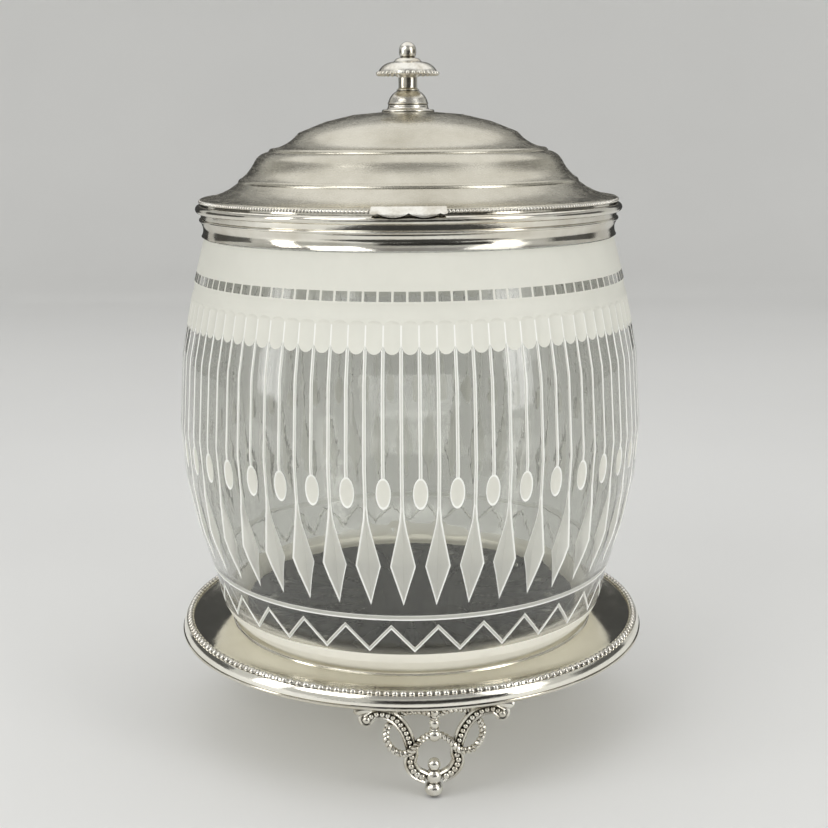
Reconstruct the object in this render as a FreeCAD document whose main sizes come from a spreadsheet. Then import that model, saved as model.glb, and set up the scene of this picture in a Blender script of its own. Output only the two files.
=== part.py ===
import FreeCAD, Part
import math
import os
from types import SimpleNamespace

import Sketcher

# A footed cut-glass biscuit jar: a glass barrel with a metal collar and a hinged, domed lid stands loose
# on a round tray with three openwork feet. Millimetres, +Z up, the origin on the floor under the jar's
# axis, and the front, where the thumb piece is, towards -Y.

DIMENSIONS = {
    # Tray
    "tray_radius": 90.0,
    "tray_sheet": 1.1,
    "rim_step": 0.3,
    "rim_width": 7.0,
    "well_step_width": 0.5,
    "flange_depth": 2.0,
    "flange_half_wall": 0.45,
    "flange_bulge": 0.35,
    "edge_wire_radius": 0.9,
    "edge_wire_flat": 0.6,
    "tray_bead_radius": 1.3,
    "tray_bead_inset": 3.1,
    "tray_bead_sink": 0.3,
    "locating_ring_gap": 2.2,
    "locating_ring_width": 1.2,
    "locating_ring_height": 0.7,
    "locating_ring_shoulder": 0.4,
    "locating_ring_bevel": 0.35,
    # Feet
    "foot_turn": 5.2,
    "foot_tread_inset": 10.0,
    "foot_tilt": 6.3,
    "casting_height": 35.6,
    "casting_half_width": 28.2,
    "foot_bar_depth": 4.0,
    "foot_bar_width": 4.4,
    "foot_bar_inset": 3.4,
    "foot_arm_radius": 1.7,
    "foot_leaf_radius": 1.15,
    "leaf_tip_radius": 1.45,
    "foot_rope_radius": 0.95,
    "foot_stem_radius": 1.2,
    "volute_radius": 2.3,
    "foot_ball_radius": 3.2,
    "foot_ball_flat": 0.2,
    # Glass
    "belly_radius": 87.5,
    "belly_height": 39.0,
    "waist_tuck": 5.2,
    "waist_height": 18.6,
    "band_tuck": 5.6,
    "band_height": 8.4,
    "foot_round_tuck": 1.7,
    "foot_round_height": 12.3,
    "foot_round_bulge": 1.6,
    "seat_tuck": 8.0,
    "shoulder_tuck": 7.4,
    "shoulder_height": 53.0,
    "mouth_tuck": 4.1,
    "mouth_height": 15.4,
    "neck_inset": 2.0,
    "neck_slope": 1.0,
    "neck_height": 9.8,
    "glass_wall": 4.0,
    "glass_base": 6.0,
    "kite_half_width": 4.1,
    "kite_girdle_rise": 4.7,
    "kite_top_rise": 18.3,
    "kite_point_drop": 15.2,
    "kite_depth": 1.15,
    "kite_turn": -1.9,
    # Collar
    "collar_lift": 0.6,
    "collar_height": 12.4,
    "collar_wall": 1.7,
    "collar_top": 1.1,
    "cement_gap": 1.2,
    "cement_start": 1.0,
    "cement_height": 7.8,
    "cove_height": 4.9,
    "cove_depth": 0.7,
    "main_roll_radius": 1.5,
    "main_roll_offset": 0.5,
    "main_roll_height": 9.8,
    "waist_roll_radius": 0.6,
    "waist_roll_offset": 0.1,
    "waist_roll_height": 5.9,
    "lid_rebate_width": 1.0,
    "lid_rebate_height": 1.1,
    # Lid
    "lid_gap": 0.3,
    "lid_sheet": 0.9,
    "lid_steep_inset": 0.54,
    "lid_skirt_width": 1.62,
    "lip_overhang": 0.1,
    "lip_round": 0.6,
    "lip_edge_drop": 0.3,
    "lip_edge_bulge": 0.1,
    "lip_height": 0.8,
    "flare_width": 13.4,
    "flare_rise": 5.4,
    "flare_hollow": 1.1,
    "lower_ring_width": 1.4,
    "lower_ring_rise": 1.7,
    "lower_ring_bulge": 0.4,
    "cavetto_width": 4.6,
    "cavetto_rise": 5.4,
    "cavetto_hollow": 0.4,
    "shoulder_width": 5.4,
    "shoulder_rise": 4.0,
    "lid_shoulder_bulge": 0.9,
    "upper_ring_width": 2.0,
    "upper_ring_rise": 1.2,
    "upper_ring_bulge": 0.5,
    "cove_width": 9.3,
    "cove_rise": 5.6,
    "lid_cove_hollow": 0.95,
    "dome_rise": 7.2,
    "dome_bulge": 1.7,
    "bezel_clearance": 0.6,
    "bezel_wall": 0.8,
    "bezel_depth": 5.2,
    "bezel_ring_sheet": 0.5,
    "lid_bead_radius": 0.55,
    "lid_bead_sink": 0.15,
    # Thumb piece
    "thumb_half_width": 12.3,
    "thumb_lobe_width": 9.9,
    "thumb_clearance": 0.35,
    "thumb_thickness": 1.0,
    "thumb_top": 0.7,
    "thumb_drop": 1.7,
    "thumb_cusp_drop": 0.5,
    "thumb_lobe_bulge": 1.4,
    "thumb_side_bulge": 0.4,
    "thumb_ledge": 2.6,
    # Hinge
    "hinge_offset": 4.6,
    "hinge_rise": 0.2,
    "knuckle_radius": 2.3,
    "knuckle_length": 8.0,
    "lid_knuckle_length": 9.4,
    "knuckle_gap": 0.3,
    "pin_radius": 1.0,
    "pin_clearance": 0.05,
    "pin_head_radius": 1.5,
    "pin_head_length": 0.6,
    "leaf_plate": 1.6,
    "leaf_drop": 9.8,
    "leaf_fit": 0.02,
    "leaf_notch": 0.4,
    "lid_leaf_sheet": 1.7,
    "lid_leaf_reach": 4.5,
    # Finial
    "rose_radius": 9.6,
    "rose_height": 1.0,
    "rose_bulge": 0.25,
    "rose_rim": 1.0,
    "rose_dish": 0.35,
    "pedestal_foot_radius": 3.6,
    "pedestal_foot_height": 0.6,
    "bell_radius": 7.5,
    "bell_tuck": 1.5,
    "bell_rim": 0.5,
    "bell_rim_bulge": 0.125,
    "bell_height": 4.3,
    "bell_bulge": 0.45,
    "bell_neck_radius": 4.3,
    "bell_neck_height": 1.2,
    "stem_radius": 3.4,
    "stem_height": 4.9,
    "socket_radius": 4.1,
    "socket_height": 1.1,
    "parasol_radius": 10.9,
    "parasol_edge": 0.6,
    "parasol_rise": 4.4,
    "parasol_bulge": 1.1,
    "crown_radius": 5.1,
    "crown_height": 1.5,
    "crown_bulge": 0.5,
    "parasol_bead_radius": 0.6,
    "parasol_bead_offset": 0.1,
    "knop_neck_radius": 2.5,
    "knop_neck_rise": 2.6,
    "knop_side_bulge": 0.25,
    "knop_radius": 3.1,
    "stud_radius": 1.6,
    "stud_clearance": 0.1,
    "stud_depth": 4.0,
    "stud_tail": 1.2,
    "washer_radius": 5.0,
    "washer_thickness": 0.6,
    "nut_radius": 3.9,
    "nut_thickness": 2.6,
}

# The foot's curves, drawn on a grid one casting half-width wide and one casting height tall.
ARM_ROUTE = [
    (0.82, 0.89),
    (0.70, 0.945),
    (0.51, 0.90),
    (0.37, 0.765),
    (0.295, 0.60),
    (0.27, 0.49),
    (0.295, 0.385),
    (0.225, 0.275),
    (0.09, 0.205),
]
ROPE_ROUTE = [
    (0.02, 0.90),
    (0.21, 0.945),
    (0.42, 0.90),
    (0.57, 0.77),
    (0.575, 0.63),
    (0.46, 0.52),
    (0.30, 0.53),
    (0.17, 0.64),
    (0.02, 0.70),
]
LEAF_ROUTE = [(0.955, 0.965), (0.84, 0.975), (0.70, 0.965)]
# The balls on the foot's middle line, from the top down: each one's height on the grid, and its size beside
# the ball that the foot stands on.
MIDDLE_BALLS = [(0.93, 0.59), (0.81, 0.62), (0.68, 0.72), (0.35, 0.66), (0.21, 0.91)]
STEM_FOOT = 0.68
STACK_TOP = 0.35
FOOT_NAMES = ["foot_front", "foot_right", "foot_left"]

# How many kites are cut round the glass, and how far past its face a cutter's sides run.
KITE_COUNT = 45
CUTTER_REACH = 2.5

# Where a wire's round side has its corners, in degrees from one side of its crest to the other.
WIRE_CORNERS = [0, 30, 60, 90, 120, 150, 180]

TINY = 1e-6


class Size:
    """A length, with its value now and the sheet formula that keeps it bound."""

    def __init__(self, value, formula):
        self.value = value
        self.formula = formula

    def joined(self, sign, other, value):
        return Size(value, f"({self.formula} {sign} {as_size(other).formula})")

    def __add__(self, other):
        return self.joined("+", other, self.value + as_size(other).value)

    def __sub__(self, other):
        return self.joined("-", other, self.value - as_size(other).value)

    def __mul__(self, other):
        return self.joined("*", other, self.value * as_size(other).value)

    def __truediv__(self, other):
        return self.joined("/", other, self.value / as_size(other).value)

    def __neg__(self):
        return Size(-self.value, f"(0 - {self.formula})")

    def root(self):
        return Size(math.sqrt(self.value), f"sqrt({self.formula})")


def as_size(number):
    if isinstance(number, Size):
        return number
    return Size(float(number), repr(float(number)))


def make_sheet(doc):
    """The driving dimensions in a sheet, and the same as named sizes."""
    sheet = doc.addObject("Spreadsheet::Sheet", "dims")
    for row, (name, value) in enumerate(DIMENSIONS.items(), start=1):
        sheet.set(f"A{row}", name)
        sheet.set(f"B{row}", str(value))
        sheet.setAlias(f"B{row}", name)
    doc.recompute()
    sizes = {name: Size(float(sheet.get(name)), f"dims.{name}") for name in DIMENSIONS}
    return SimpleNamespace(**sizes)


doc = FreeCAD.newDocument("biscuit_jar")
d = make_sheet(doc)
parts = []


def keep(piece, label):
    """Names a finished sub-part, which is written out under its label."""
    piece.Label = label
    parts.append(piece)
    return piece


def arc_radius(start, end, bulge):
    """The radius of the arc over a chord, signed like its bulge."""
    across = end[0] - start[0]
    along = end[1] - start[1]
    quarter_chord = (across * across + along * along) / 4
    return (quarter_chord + bulge * bulge) / (bulge * 2)


def upright_bulge(upright, other):
    """The bulge of the arc between two corners that leaves the first one straight up or down."""
    across = upright[0] - other[0]
    along = upright[1] - other[1]
    chord = across * across + along * along
    radius = chord / (across * 2)
    return radius - (radius * radius - chord / 4).root()


def arc_geometry(start, end, radius, bulge):
    """An arc from start to end, run anticlockwise where the radius is positive, and else clockwise."""
    across = end[0] - start[0]
    along = end[1] - start[1]
    chord = math.hypot(across, along)
    height = radius - bulge
    centre = (
        (start[0] + end[0]) / 2 - along / chord * height,
        (start[1] + end[1]) / 2 + across / chord * height,
    )
    first, last = (start, end) if radius > 0 else (end, start)
    angles = [math.atan2(point[1] - centre[1], point[0] - centre[0]) for point in (first, last)]
    circle = Part.Circle(FreeCAD.Vector(*centre, 0), FreeCAD.Vector(0, 0, 1), abs(radius))
    return Part.ArcOfCircle(circle, *angles)


def pin_vertex(sketch, vertex, corner):
    """Holds one end of a sketch line at its two formulas."""
    for kind, axis, coordinate in zip(("DistanceX", "DistanceY"), (-2, -1), corner):
        if abs(coordinate.value) < TINY:
            sketch.addConstraint(Sketcher.Constraint("PointOnObject", *vertex, axis))
            continue
        ends = (-1, 1, *vertex) if coordinate.value > 0 else (*vertex, -1, 1)
        length = coordinate if coordinate.value > 0 else -coordinate
        index = sketch.addConstraint(Sketcher.Constraint(kind, *ends, length.value))
        sketch.setExpression(f"Constraints[{index}]", length.formula)


def outline_sketch(body, name, plane_role, outline):
    """A closed outline, anticlockwise. A lone size between two corners is the bulge of the run there."""
    corners = []
    bulges = []
    for item in outline:
        if isinstance(item, tuple):
            corners.append((as_size(item[0]), as_size(item[1])))
            bulges.append(None)
        else:
            bulges[-1] = as_size(item)
    sketch = body.newObject("Sketcher::SketchObject", name)
    plane = next(feature for feature in body.Origin.OriginFeatures if feature.Role == plane_role)
    sketch.AttachmentSupport = (plane, [""])
    sketch.MapMode = "FlatFace"
    starts = []
    ends = []
    for corner, bulge, following in zip(corners, bulges, corners[1:] + corners[:1]):
        start = [coordinate.value for coordinate in corner]
        end = [coordinate.value for coordinate in following]
        if bulge is None:
            line = Part.LineSegment(FreeCAD.Vector(*start, 0), FreeCAD.Vector(*end, 0))
            index = sketch.addGeometry(line, False)
            starts.append((index, 1))
            ends.append((index, 2))
            continue
        radius = arc_radius(corner, following, bulge)
        index = sketch.addGeometry(arc_geometry(start, end, radius.value, bulge.value), False)
        outward = radius.value > 0
        starts.append((index, 1 if outward else 2))
        ends.append((index, 2 if outward else 1))
        length = radius if outward else -radius
        constraint = sketch.addConstraint(Sketcher.Constraint("Radius", index, length.value))
        sketch.setExpression(f"Constraints[{constraint}]", length.formula)
    for end, start in zip(ends, starts[1:] + starts[:1]):
        sketch.addConstraint(Sketcher.Constraint("Coincident", *end, *start))
    for start, corner in zip(starts, corners):
        pin_vertex(sketch, start, corner)
    return sketch


def turned(name, outline):
    """A body turned about the jar's axis from an outline of radii and heights."""
    body = doc.addObject("PartDesign::Body", name)
    sketch = outline_sketch(body, f"{name}_outline", "XZ_Plane", outline)
    turning = body.newObject("PartDesign::Revolution", f"{name}_turning")
    turning.Profile = sketch
    turning.ReferenceAxis = (sketch, ["V_Axis"])
    turning.Angle = 360
    return body


def bind(piece, **formulas):
    """Binds properties of a document object to sizes."""
    for name, size in formulas.items():
        piece.setExpression(name, size.formula)
    return piece


def place(piece, x=0, y=0, z=0):
    """Binds an object's position to sizes."""
    for axis, size in zip("xyz", (x, y, z)):
        piece.setExpression(f"Placement.Base.{axis}", as_size(size).formula)
    return piece


def primitive(kind, name, **sizes):
    piece = doc.addObject(f"Part::{kind}", name)
    return bind(piece, **sizes)


def cut(name, base, tool):
    piece = doc.addObject("Part::Cut", name)
    piece.Base = base
    piece.Tool = tool
    return piece


def fused(name, pieces):
    piece = doc.addObject("Part::MultiFuse", name)
    piece.Shapes = pieces
    return piece


def cylinder_along_x(name, radius, start, length, y, z):
    """A round bar that runs along X from start."""
    bar = primitive("Cylinder", name, Radius=radius, Height=length)
    bar.Placement.Rotation = FreeCAD.Rotation(FreeCAD.Vector(0, 1, 0), 90)
    return place(bar, start, y, z)


# Heights and radii that several pieces share.

tray_under = d.casting_height + d.foot_bar_depth
well_top = tray_under + d.tray_sheet
rim_top = well_top + d.rim_step
flange_foot = tray_under - d.flange_depth
edge_wire_centre = d.tray_radius - d.edge_wire_radius
well_radius = d.tray_radius - d.rim_width

glass_foot = well_top
foot_round_top = glass_foot + d.foot_round_height
band_top = foot_round_top + d.band_height
waist_top = band_top + d.waist_height
belly_top = waist_top + d.belly_height
shoulder_top = belly_top + d.shoulder_height
mouth_top = shoulder_top + d.mouth_height
neck_foot = mouth_top + d.neck_slope
neck_top = mouth_top + d.neck_height
waist_radius = d.belly_radius - d.waist_tuck
band_radius = waist_radius - d.band_tuck
foot_round_radius = band_radius - d.foot_round_tuck
seat_radius = foot_round_radius - d.seat_tuck
shoulder_radius = d.belly_radius - d.shoulder_tuck
mouth_radius = shoulder_radius - d.mouth_tuck
neck_radius = mouth_radius - d.neck_inset

collar_foot = mouth_top + d.collar_lift
collar_top = collar_foot + d.collar_height
collar_bore = neck_radius + d.cement_gap
collar_radius = collar_bore + d.collar_wall
collar_mouth = neck_radius - d.glass_wall
rebate_foot = collar_top - d.lid_rebate_height
main_roll_crest = collar_radius + d.main_roll_offset + d.main_roll_radius

lid_foot = collar_top + d.lid_gap
lid_radius = collar_radius + d.lip_overhang
lip_top = lid_foot + d.lip_height
bezel_radius = collar_mouth - d.bezel_clearance

hinge_y = lid_radius + d.hinge_offset
hinge_z = lid_foot + d.hinge_rise


# Tray

def half_chord(radius, offset):
    """Half the width of a round wire at an offset from its middle."""
    return (radius * radius - offset * offset).root()


def wire_corners(radius, offset):
    """The corners of a wire's round side, as distances along its seat and away from it."""
    half = half_chord(radius, offset)
    corners = [(half, as_size(0))]
    for angle in WIRE_CORNERS:
        along = radius * math.cos(math.radians(angle))
        away = radius * math.sin(math.radians(angle)) + offset
        corners.append((along, away))
    corners.append((-half, as_size(0)))
    return corners


def wire_up(name, centre, radius, offset, seat):
    """A wire ring that lies on a flat seat, with its round side up."""
    outline = [(centre + along, seat + away) for along, away in wire_corners(radius, offset)]
    return keep(turned(name, outline), name)


def wire_down(name, centre, radius, offset, seat):
    """A wire ring under a flat seat, with its round side down."""
    outline = [(centre - along, seat - away) for along, away in wire_corners(radius, offset)]
    return keep(turned(name, outline), name)


def wire_out(name, seat, radius, offset, height):
    """A wire ring round an upright wall, with its round side out."""
    outline = [(seat + away, height - along) for along, away in wire_corners(radius, offset)]
    return keep(turned(name, outline), name)


def make_tray():
    flange_inner = edge_wire_centre - d.flange_half_wall
    flange_outer = edge_wire_centre + d.flange_half_wall
    keep(
        turned(
            "tray_plate",
            [
                (0, tray_under),
                (flange_inner - d.tray_sheet, tray_under),
                d.flange_bulge,
                (flange_inner, flange_foot),
                (flange_outer, flange_foot),
                d.flange_bulge,
                (flange_outer - d.tray_sheet, rim_top),
                (well_radius + d.well_step_width, rim_top),
                (well_radius, well_top),
                (0, well_top),
            ],
        ),
        "tray_plate",
    )
    wire_down("tray_edge_wire", edge_wire_centre, d.edge_wire_radius, d.edge_wire_flat, flange_foot)
    bead_centre = d.tray_radius - d.tray_bead_inset
    wire_up("tray_bead_wire", bead_centre, d.tray_bead_radius, d.tray_bead_sink, rim_top)
    inner = seat_radius + d.locating_ring_gap
    outer = inner + d.locating_ring_width
    shoulder = well_top + d.locating_ring_shoulder
    crest = well_top + d.locating_ring_height
    keep(
        turned(
            "jar_locating_ring",
            [
                (inner, well_top),
                (outer, well_top),
                (outer, shoulder),
                (outer - d.locating_ring_bevel, crest),
                (inner + d.locating_ring_bevel, crest),
                (inner, shoulder),
            ],
        ),
        "jar_locating_ring",
    )


# Feet

def foot_point(grid, side):
    """A point of the foot's drawing, in the upright plane of the foot, before it is tilted."""
    across = grid[0] * d.casting_half_width.value * side
    return FreeCAD.Vector(across, 0, grid[1] * d.casting_height.value)


def tube_along(route, side, radius):
    """A round bar along a smooth curve."""
    points = [foot_point(grid, side) for grid in route]
    curve = Part.BSplineCurve()
    curve.interpolate(points)
    spine = Part.Wire([curve.toShape()])
    section = Part.Wire([Part.Circle(points[0], curve.tangent(curve.FirstParameter)[0], radius).toShape()])
    return spine.makePipeShell([section], True, False)


def foot_casting():
    """One openwork foot, put over its tread: two scrolled arms, two rope loops and a row of balls."""
    solids = []
    for side in (-1, 1):
        solids.append(tube_along(ARM_ROUTE, side, d.foot_arm_radius.value))
        solids.append(tube_along(ROPE_ROUTE, side, d.foot_rope_radius.value))
        solids.append(tube_along(LEAF_ROUTE, side, d.foot_leaf_radius.value))
        solids.append(Part.makeSphere(d.volute_radius.value, foot_point(ARM_ROUTE[0], side)))
        solids.append(Part.makeSphere(d.leaf_tip_radius.value, foot_point(LEAF_ROUTE[0], side)))
    ball = d.foot_ball_radius.value
    for height, share in MIDDLE_BALLS:
        solids.append(Part.makeSphere(ball * share, foot_point((0, height), 1)))
    ball_centre = FreeCAD.Vector(0, 0, ball - d.foot_ball_flat.value)
    solids.append(Part.makeSphere(ball, ball_centre))
    stem_foot = foot_point((0, STEM_FOOT), 1)
    stem_length = d.casting_height.value + d.foot_bar_depth.value / 2 - stem_foot.z
    solids.append(Part.makeCylinder(d.foot_stem_radius.value, stem_length, stem_foot))
    core_length = foot_point((0, STACK_TOP), 1).z - ball_centre.z
    solids.append(Part.makeCylinder(d.foot_stem_radius.value, core_length, ball_centre))
    casting = solids[0].multiFuse(solids[1:])
    casting.rotate(ball_centre, FreeCAD.Vector(1, 0, 0), d.foot_tilt.value)
    tread_radius = d.tray_radius.value - d.foot_tread_inset.value
    casting.translate(FreeCAD.Vector(0, -tread_radius, 0))
    return casting


def foot_bar():
    """The curved bar on top of a foot, which is soldered to the tray's underside."""
    outer = d.tray_radius.value - d.foot_bar_inset.value
    inner = outer - d.foot_bar_width.value
    half_span = math.degrees(math.asin(d.casting_half_width.value / outer))
    height = d.foot_bar_depth.value
    base = FreeCAD.Vector(0, 0, d.casting_height.value)
    up = FreeCAD.Vector(0, 0, 1)
    bar = Part.makeCylinder(outer, height, base, up, half_span * 2)
    bar = bar.cut(Part.makeCylinder(inner, height, base, up, 360))
    bar.rotate(FreeCAD.Vector(0, 0, 0), up, -90 - half_span)
    return bar


def make_feet():
    above_floor = Part.makeCylinder(d.tray_radius.value, tray_under.value)
    foot = foot_casting().fuse(foot_bar()).common(above_floor).removeSplitter()
    up = FreeCAD.Vector(0, 0, 1)
    for index, name in enumerate(FOOT_NAMES):
        piece = doc.addObject("Part::Feature", name)
        piece.Shape = foot
        turn = d.foot_turn.value + 360 / len(FOOT_NAMES) * index
        piece.Placement = FreeCAD.Placement(FreeCAD.Vector(0, 0, 0), FreeCAD.Rotation(up, turn))
        keep(piece, name)


# Glass and collar

def barrel_radius(height):
    """The glass's outer radius at a height between its base band and its belly."""
    belly, waist, band = d.belly_radius.value, waist_radius.value, band_radius.value
    if height < waist_top.value:
        share = (height - band_top.value) / d.waist_height.value
        return band + (waist - band) * share
    tuck = belly - waist
    bend = (tuck * tuck + d.belly_height.value * d.belly_height.value) / (tuck * 2)
    return belly - bend + math.sqrt(bend * bend - (belly_top.value - height) ** 2)


def kite_cutter():
    """A pyramid with its point at the deepest spot of a cut kite, and its sides run out of the glass."""
    girdle = waist_top.value + d.kite_girdle_rise.value
    top = girdle + d.kite_top_rise.value
    foot = girdle - d.kite_point_drop.value
    half = d.kite_half_width.value
    side = math.sqrt(barrel_radius(girdle) ** 2 - half * half)
    deepest = FreeCAD.Vector(0, d.kite_depth.value - barrel_radius(girdle), girdle)
    corners = [
        FreeCAD.Vector(0, -barrel_radius(top), top),
        FreeCAD.Vector(-half, -side, girdle),
        FreeCAD.Vector(0, -barrel_radius(foot), foot),
        FreeCAD.Vector(half, -side, girdle),
    ]
    outer = [deepest + (corner - deepest) * CUTTER_REACH for corner in corners]
    loops = [(deepest, first, second) for first, second in zip(outer, outer[1:] + outer[:1])]
    loops += [(outer[0], outer[1], outer[3]), (outer[2], outer[3], outer[1])]
    faces = [Part.Face(Part.makePolygon([*loop, loop[0]])) for loop in loops]
    cutter = Part.makeSolid(Part.makeShell(faces))
    if cutter.Volume < 0:
        cutter.reverse()
    return cutter


def kite_cutters():
    """All the kites' cutters, evenly round the jar."""
    cutters = []
    for index in range(KITE_COUNT):
        cutter = kite_cutter()
        turn = d.kite_turn.value + 360 / KITE_COUNT * index
        cutter.rotate(FreeCAD.Vector(0, 0, 0), FreeCAD.Vector(0, 0, 1), turn)
        cutters.append(cutter)
    piece = doc.addObject("Part::Feature", "kite_cutters")
    piece.Shape = Part.makeCompound(cutters)
    return piece


def make_glass():
    wall = d.glass_wall
    belly = (d.belly_radius, belly_top)
    waist = (waist_radius, waist_top)
    shoulder = (shoulder_radius, shoulder_top)
    lower_bulge = upright_bulge(belly, waist)
    upper_bulge = upright_bulge(belly, shoulder)
    inner_floor = glass_foot + d.glass_base
    blank = turned(
        "glass_blank",
        [
            (0, glass_foot),
            (seat_radius, glass_foot),
            d.foot_round_bulge,
            (foot_round_radius, foot_round_top),
            (band_radius, band_top),
            waist,
            lower_bulge,
            belly,
            upper_bulge,
            shoulder,
            (mouth_radius, mouth_top),
            (neck_radius, neck_foot),
            (neck_radius, neck_top),
            (neck_radius - wall, neck_top),
            (neck_radius - wall, neck_foot),
            (shoulder_radius - wall, shoulder_top),
            -upper_bulge,
            (d.belly_radius - wall, belly_top),
            -lower_bulge,
            (waist_radius - wall, waist_top),
            (band_radius - wall, band_top),
            (foot_round_radius - wall, foot_round_top),
            (seat_radius - wall / 2, inner_floor),
            (0, inner_floor),
        ],
    )
    keep(cut("glass_body", blank, kite_cutters()), "glass_body")


def make_collar():
    cove_top = collar_foot + d.cove_height
    rebate_radius = collar_radius - d.lid_rebate_width
    keep(
        turned(
            "collar_shell",
            [
                (collar_bore, collar_foot),
                (collar_radius, collar_foot),
                -d.cove_depth,
                (collar_radius, cove_top),
                (collar_radius, rebate_foot),
                (rebate_radius, rebate_foot),
                (rebate_radius, collar_top),
                (collar_mouth, collar_top),
                (collar_mouth, collar_top - d.collar_top),
                (collar_bore, collar_top - d.collar_top),
            ],
        ),
        "collar_shell",
    )
    rolls = [
        ("collar_main_roll", d.main_roll_radius, d.main_roll_offset, d.main_roll_height),
        ("collar_waist_roll", d.waist_roll_radius, d.waist_roll_offset, d.waist_roll_height),
    ]
    for name, radius, offset, height in rolls:
        wire_out(name, collar_radius, radius, offset, collar_foot + height)
    cement_foot = neck_foot + d.cement_start
    cement_top = cement_foot + d.cement_height
    keep(
        turned(
            "collar_cement",
            [
                (neck_radius, cement_foot),
                (collar_bore, cement_foot),
                (collar_bore, cement_top),
                (neck_radius, cement_top),
            ],
        ),
        "collar_cement",
    )


# Lid

def lid_corners():
    """The corners of the lid's outer face from lip to crown, each with the bulge of the run above it."""
    radius = lid_radius - d.lip_round
    height = lip_top
    corners = [((radius, height), -d.flare_hollow)]
    steps = [
        (d.flare_width, d.flare_rise, d.lower_ring_bulge),
        (d.lower_ring_width, d.lower_ring_rise, -d.cavetto_hollow),
        (d.cavetto_width, d.cavetto_rise, d.lid_shoulder_bulge),
        (d.shoulder_width, d.shoulder_rise, d.upper_ring_bulge),
        (d.upper_ring_width, d.upper_ring_rise, -d.lid_cove_hollow),
        (d.cove_width, d.cove_rise, d.dome_bulge),
    ]
    for width, rise, bulge in steps:
        radius = radius - width
        height = height + rise
        corners.append(((radius, height), bulge))
    corners.append(((d.rose_radius, height + d.dome_rise), None))
    return corners


def make_lid():
    """The lid's sheet is as thick as stated where it lies flat, and a little thinner where it is steep."""
    corners = lid_corners()
    crown = corners[-1][0][1]
    bore = d.stud_radius + d.stud_clearance
    outline = [(lid_radius - d.lip_round, lid_foot), (lid_radius, lid_foot)]
    outline += [(lid_radius, lip_top - d.lip_edge_drop), d.lip_edge_bulge]
    for corner, bulge in corners:
        outline += [corner] if bulge is None else [corner, bulge]
    outline += [(bore, crown), (bore, crown - d.lid_sheet)]
    for index in range(len(corners) - 1, 0, -1):
        (radius, height), _ = corners[index]
        bulge_below = corners[index - 1][1]
        outline += [(radius - d.lid_steep_inset, height - d.lid_sheet), -bulge_below]
    seat = lid_foot + d.bezel_ring_sheet
    outline += [(lid_radius - d.lip_round - d.lid_skirt_width, seat), (lid_radius - d.lip_round, seat)]
    dome = keep(turned("lid_dome", outline), "lid_dome")
    keep(
        turned(
            "lid_bezel",
            [
                (bezel_radius - d.bezel_wall, lid_foot - d.bezel_depth),
                (bezel_radius, lid_foot - d.bezel_depth),
                (bezel_radius, lid_foot),
                (lid_radius - d.lip_round, lid_foot),
                (lid_radius - d.lip_round, seat),
                (bezel_radius - d.bezel_wall, seat),
            ],
        ),
        "lid_bezel",
    )
    wire_down("lid_bead_wire", lid_radius, d.lid_bead_radius, d.lid_bead_sink, lid_foot)
    return dome, crown


def make_thumb_piece(dome):
    """A lipped ring, kept only inside a lobed block at the front, and fitted over the lid's edge."""
    inner = main_roll_crest + d.thumb_clearance
    outer = inner + d.thumb_thickness
    top = lip_top + d.thumb_top
    foot = lid_foot - d.thumb_drop - d.thumb_lobe_bulge
    ring = turned(
        "thumb_ring",
        [
            (lid_radius - d.thumb_ledge, lip_top),
            (inner, lip_top),
            (inner, foot),
            (outer, foot),
            (outer, top),
            (lid_radius - d.thumb_ledge, top),
        ],
    )
    block = doc.addObject("PartDesign::Body", "thumb_block")
    side = d.thumb_half_width
    lobe = d.thumb_lobe_width
    cusp = lid_foot - d.thumb_cusp_drop
    outline = [
        (-side, cusp),
        d.thumb_side_bulge,
        (-lobe, cusp),
        d.thumb_lobe_bulge,
        (0, cusp),
        d.thumb_lobe_bulge,
        (lobe, cusp),
        d.thumb_side_bulge,
        (side, cusp),
        (side, top),
        (-side, top),
    ]
    sketch = outline_sketch(block, "thumb_outline", "XZ_Plane", outline)
    pad = block.newObject("PartDesign::Pad", "thumb_pad")
    pad.Profile = sketch
    pad.setExpression("Length", (outer * 2).formula)
    pad.UseCustomVector = True
    pad.Direction = FreeCAD.Vector(0, -1, 0)
    common = doc.addObject("Part::Common", "thumb_lobed")
    common.Base = ring
    common.Tool = block
    keep(cut("thumb_piece", common, dome), "thumb_piece")


# Hinge

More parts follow.
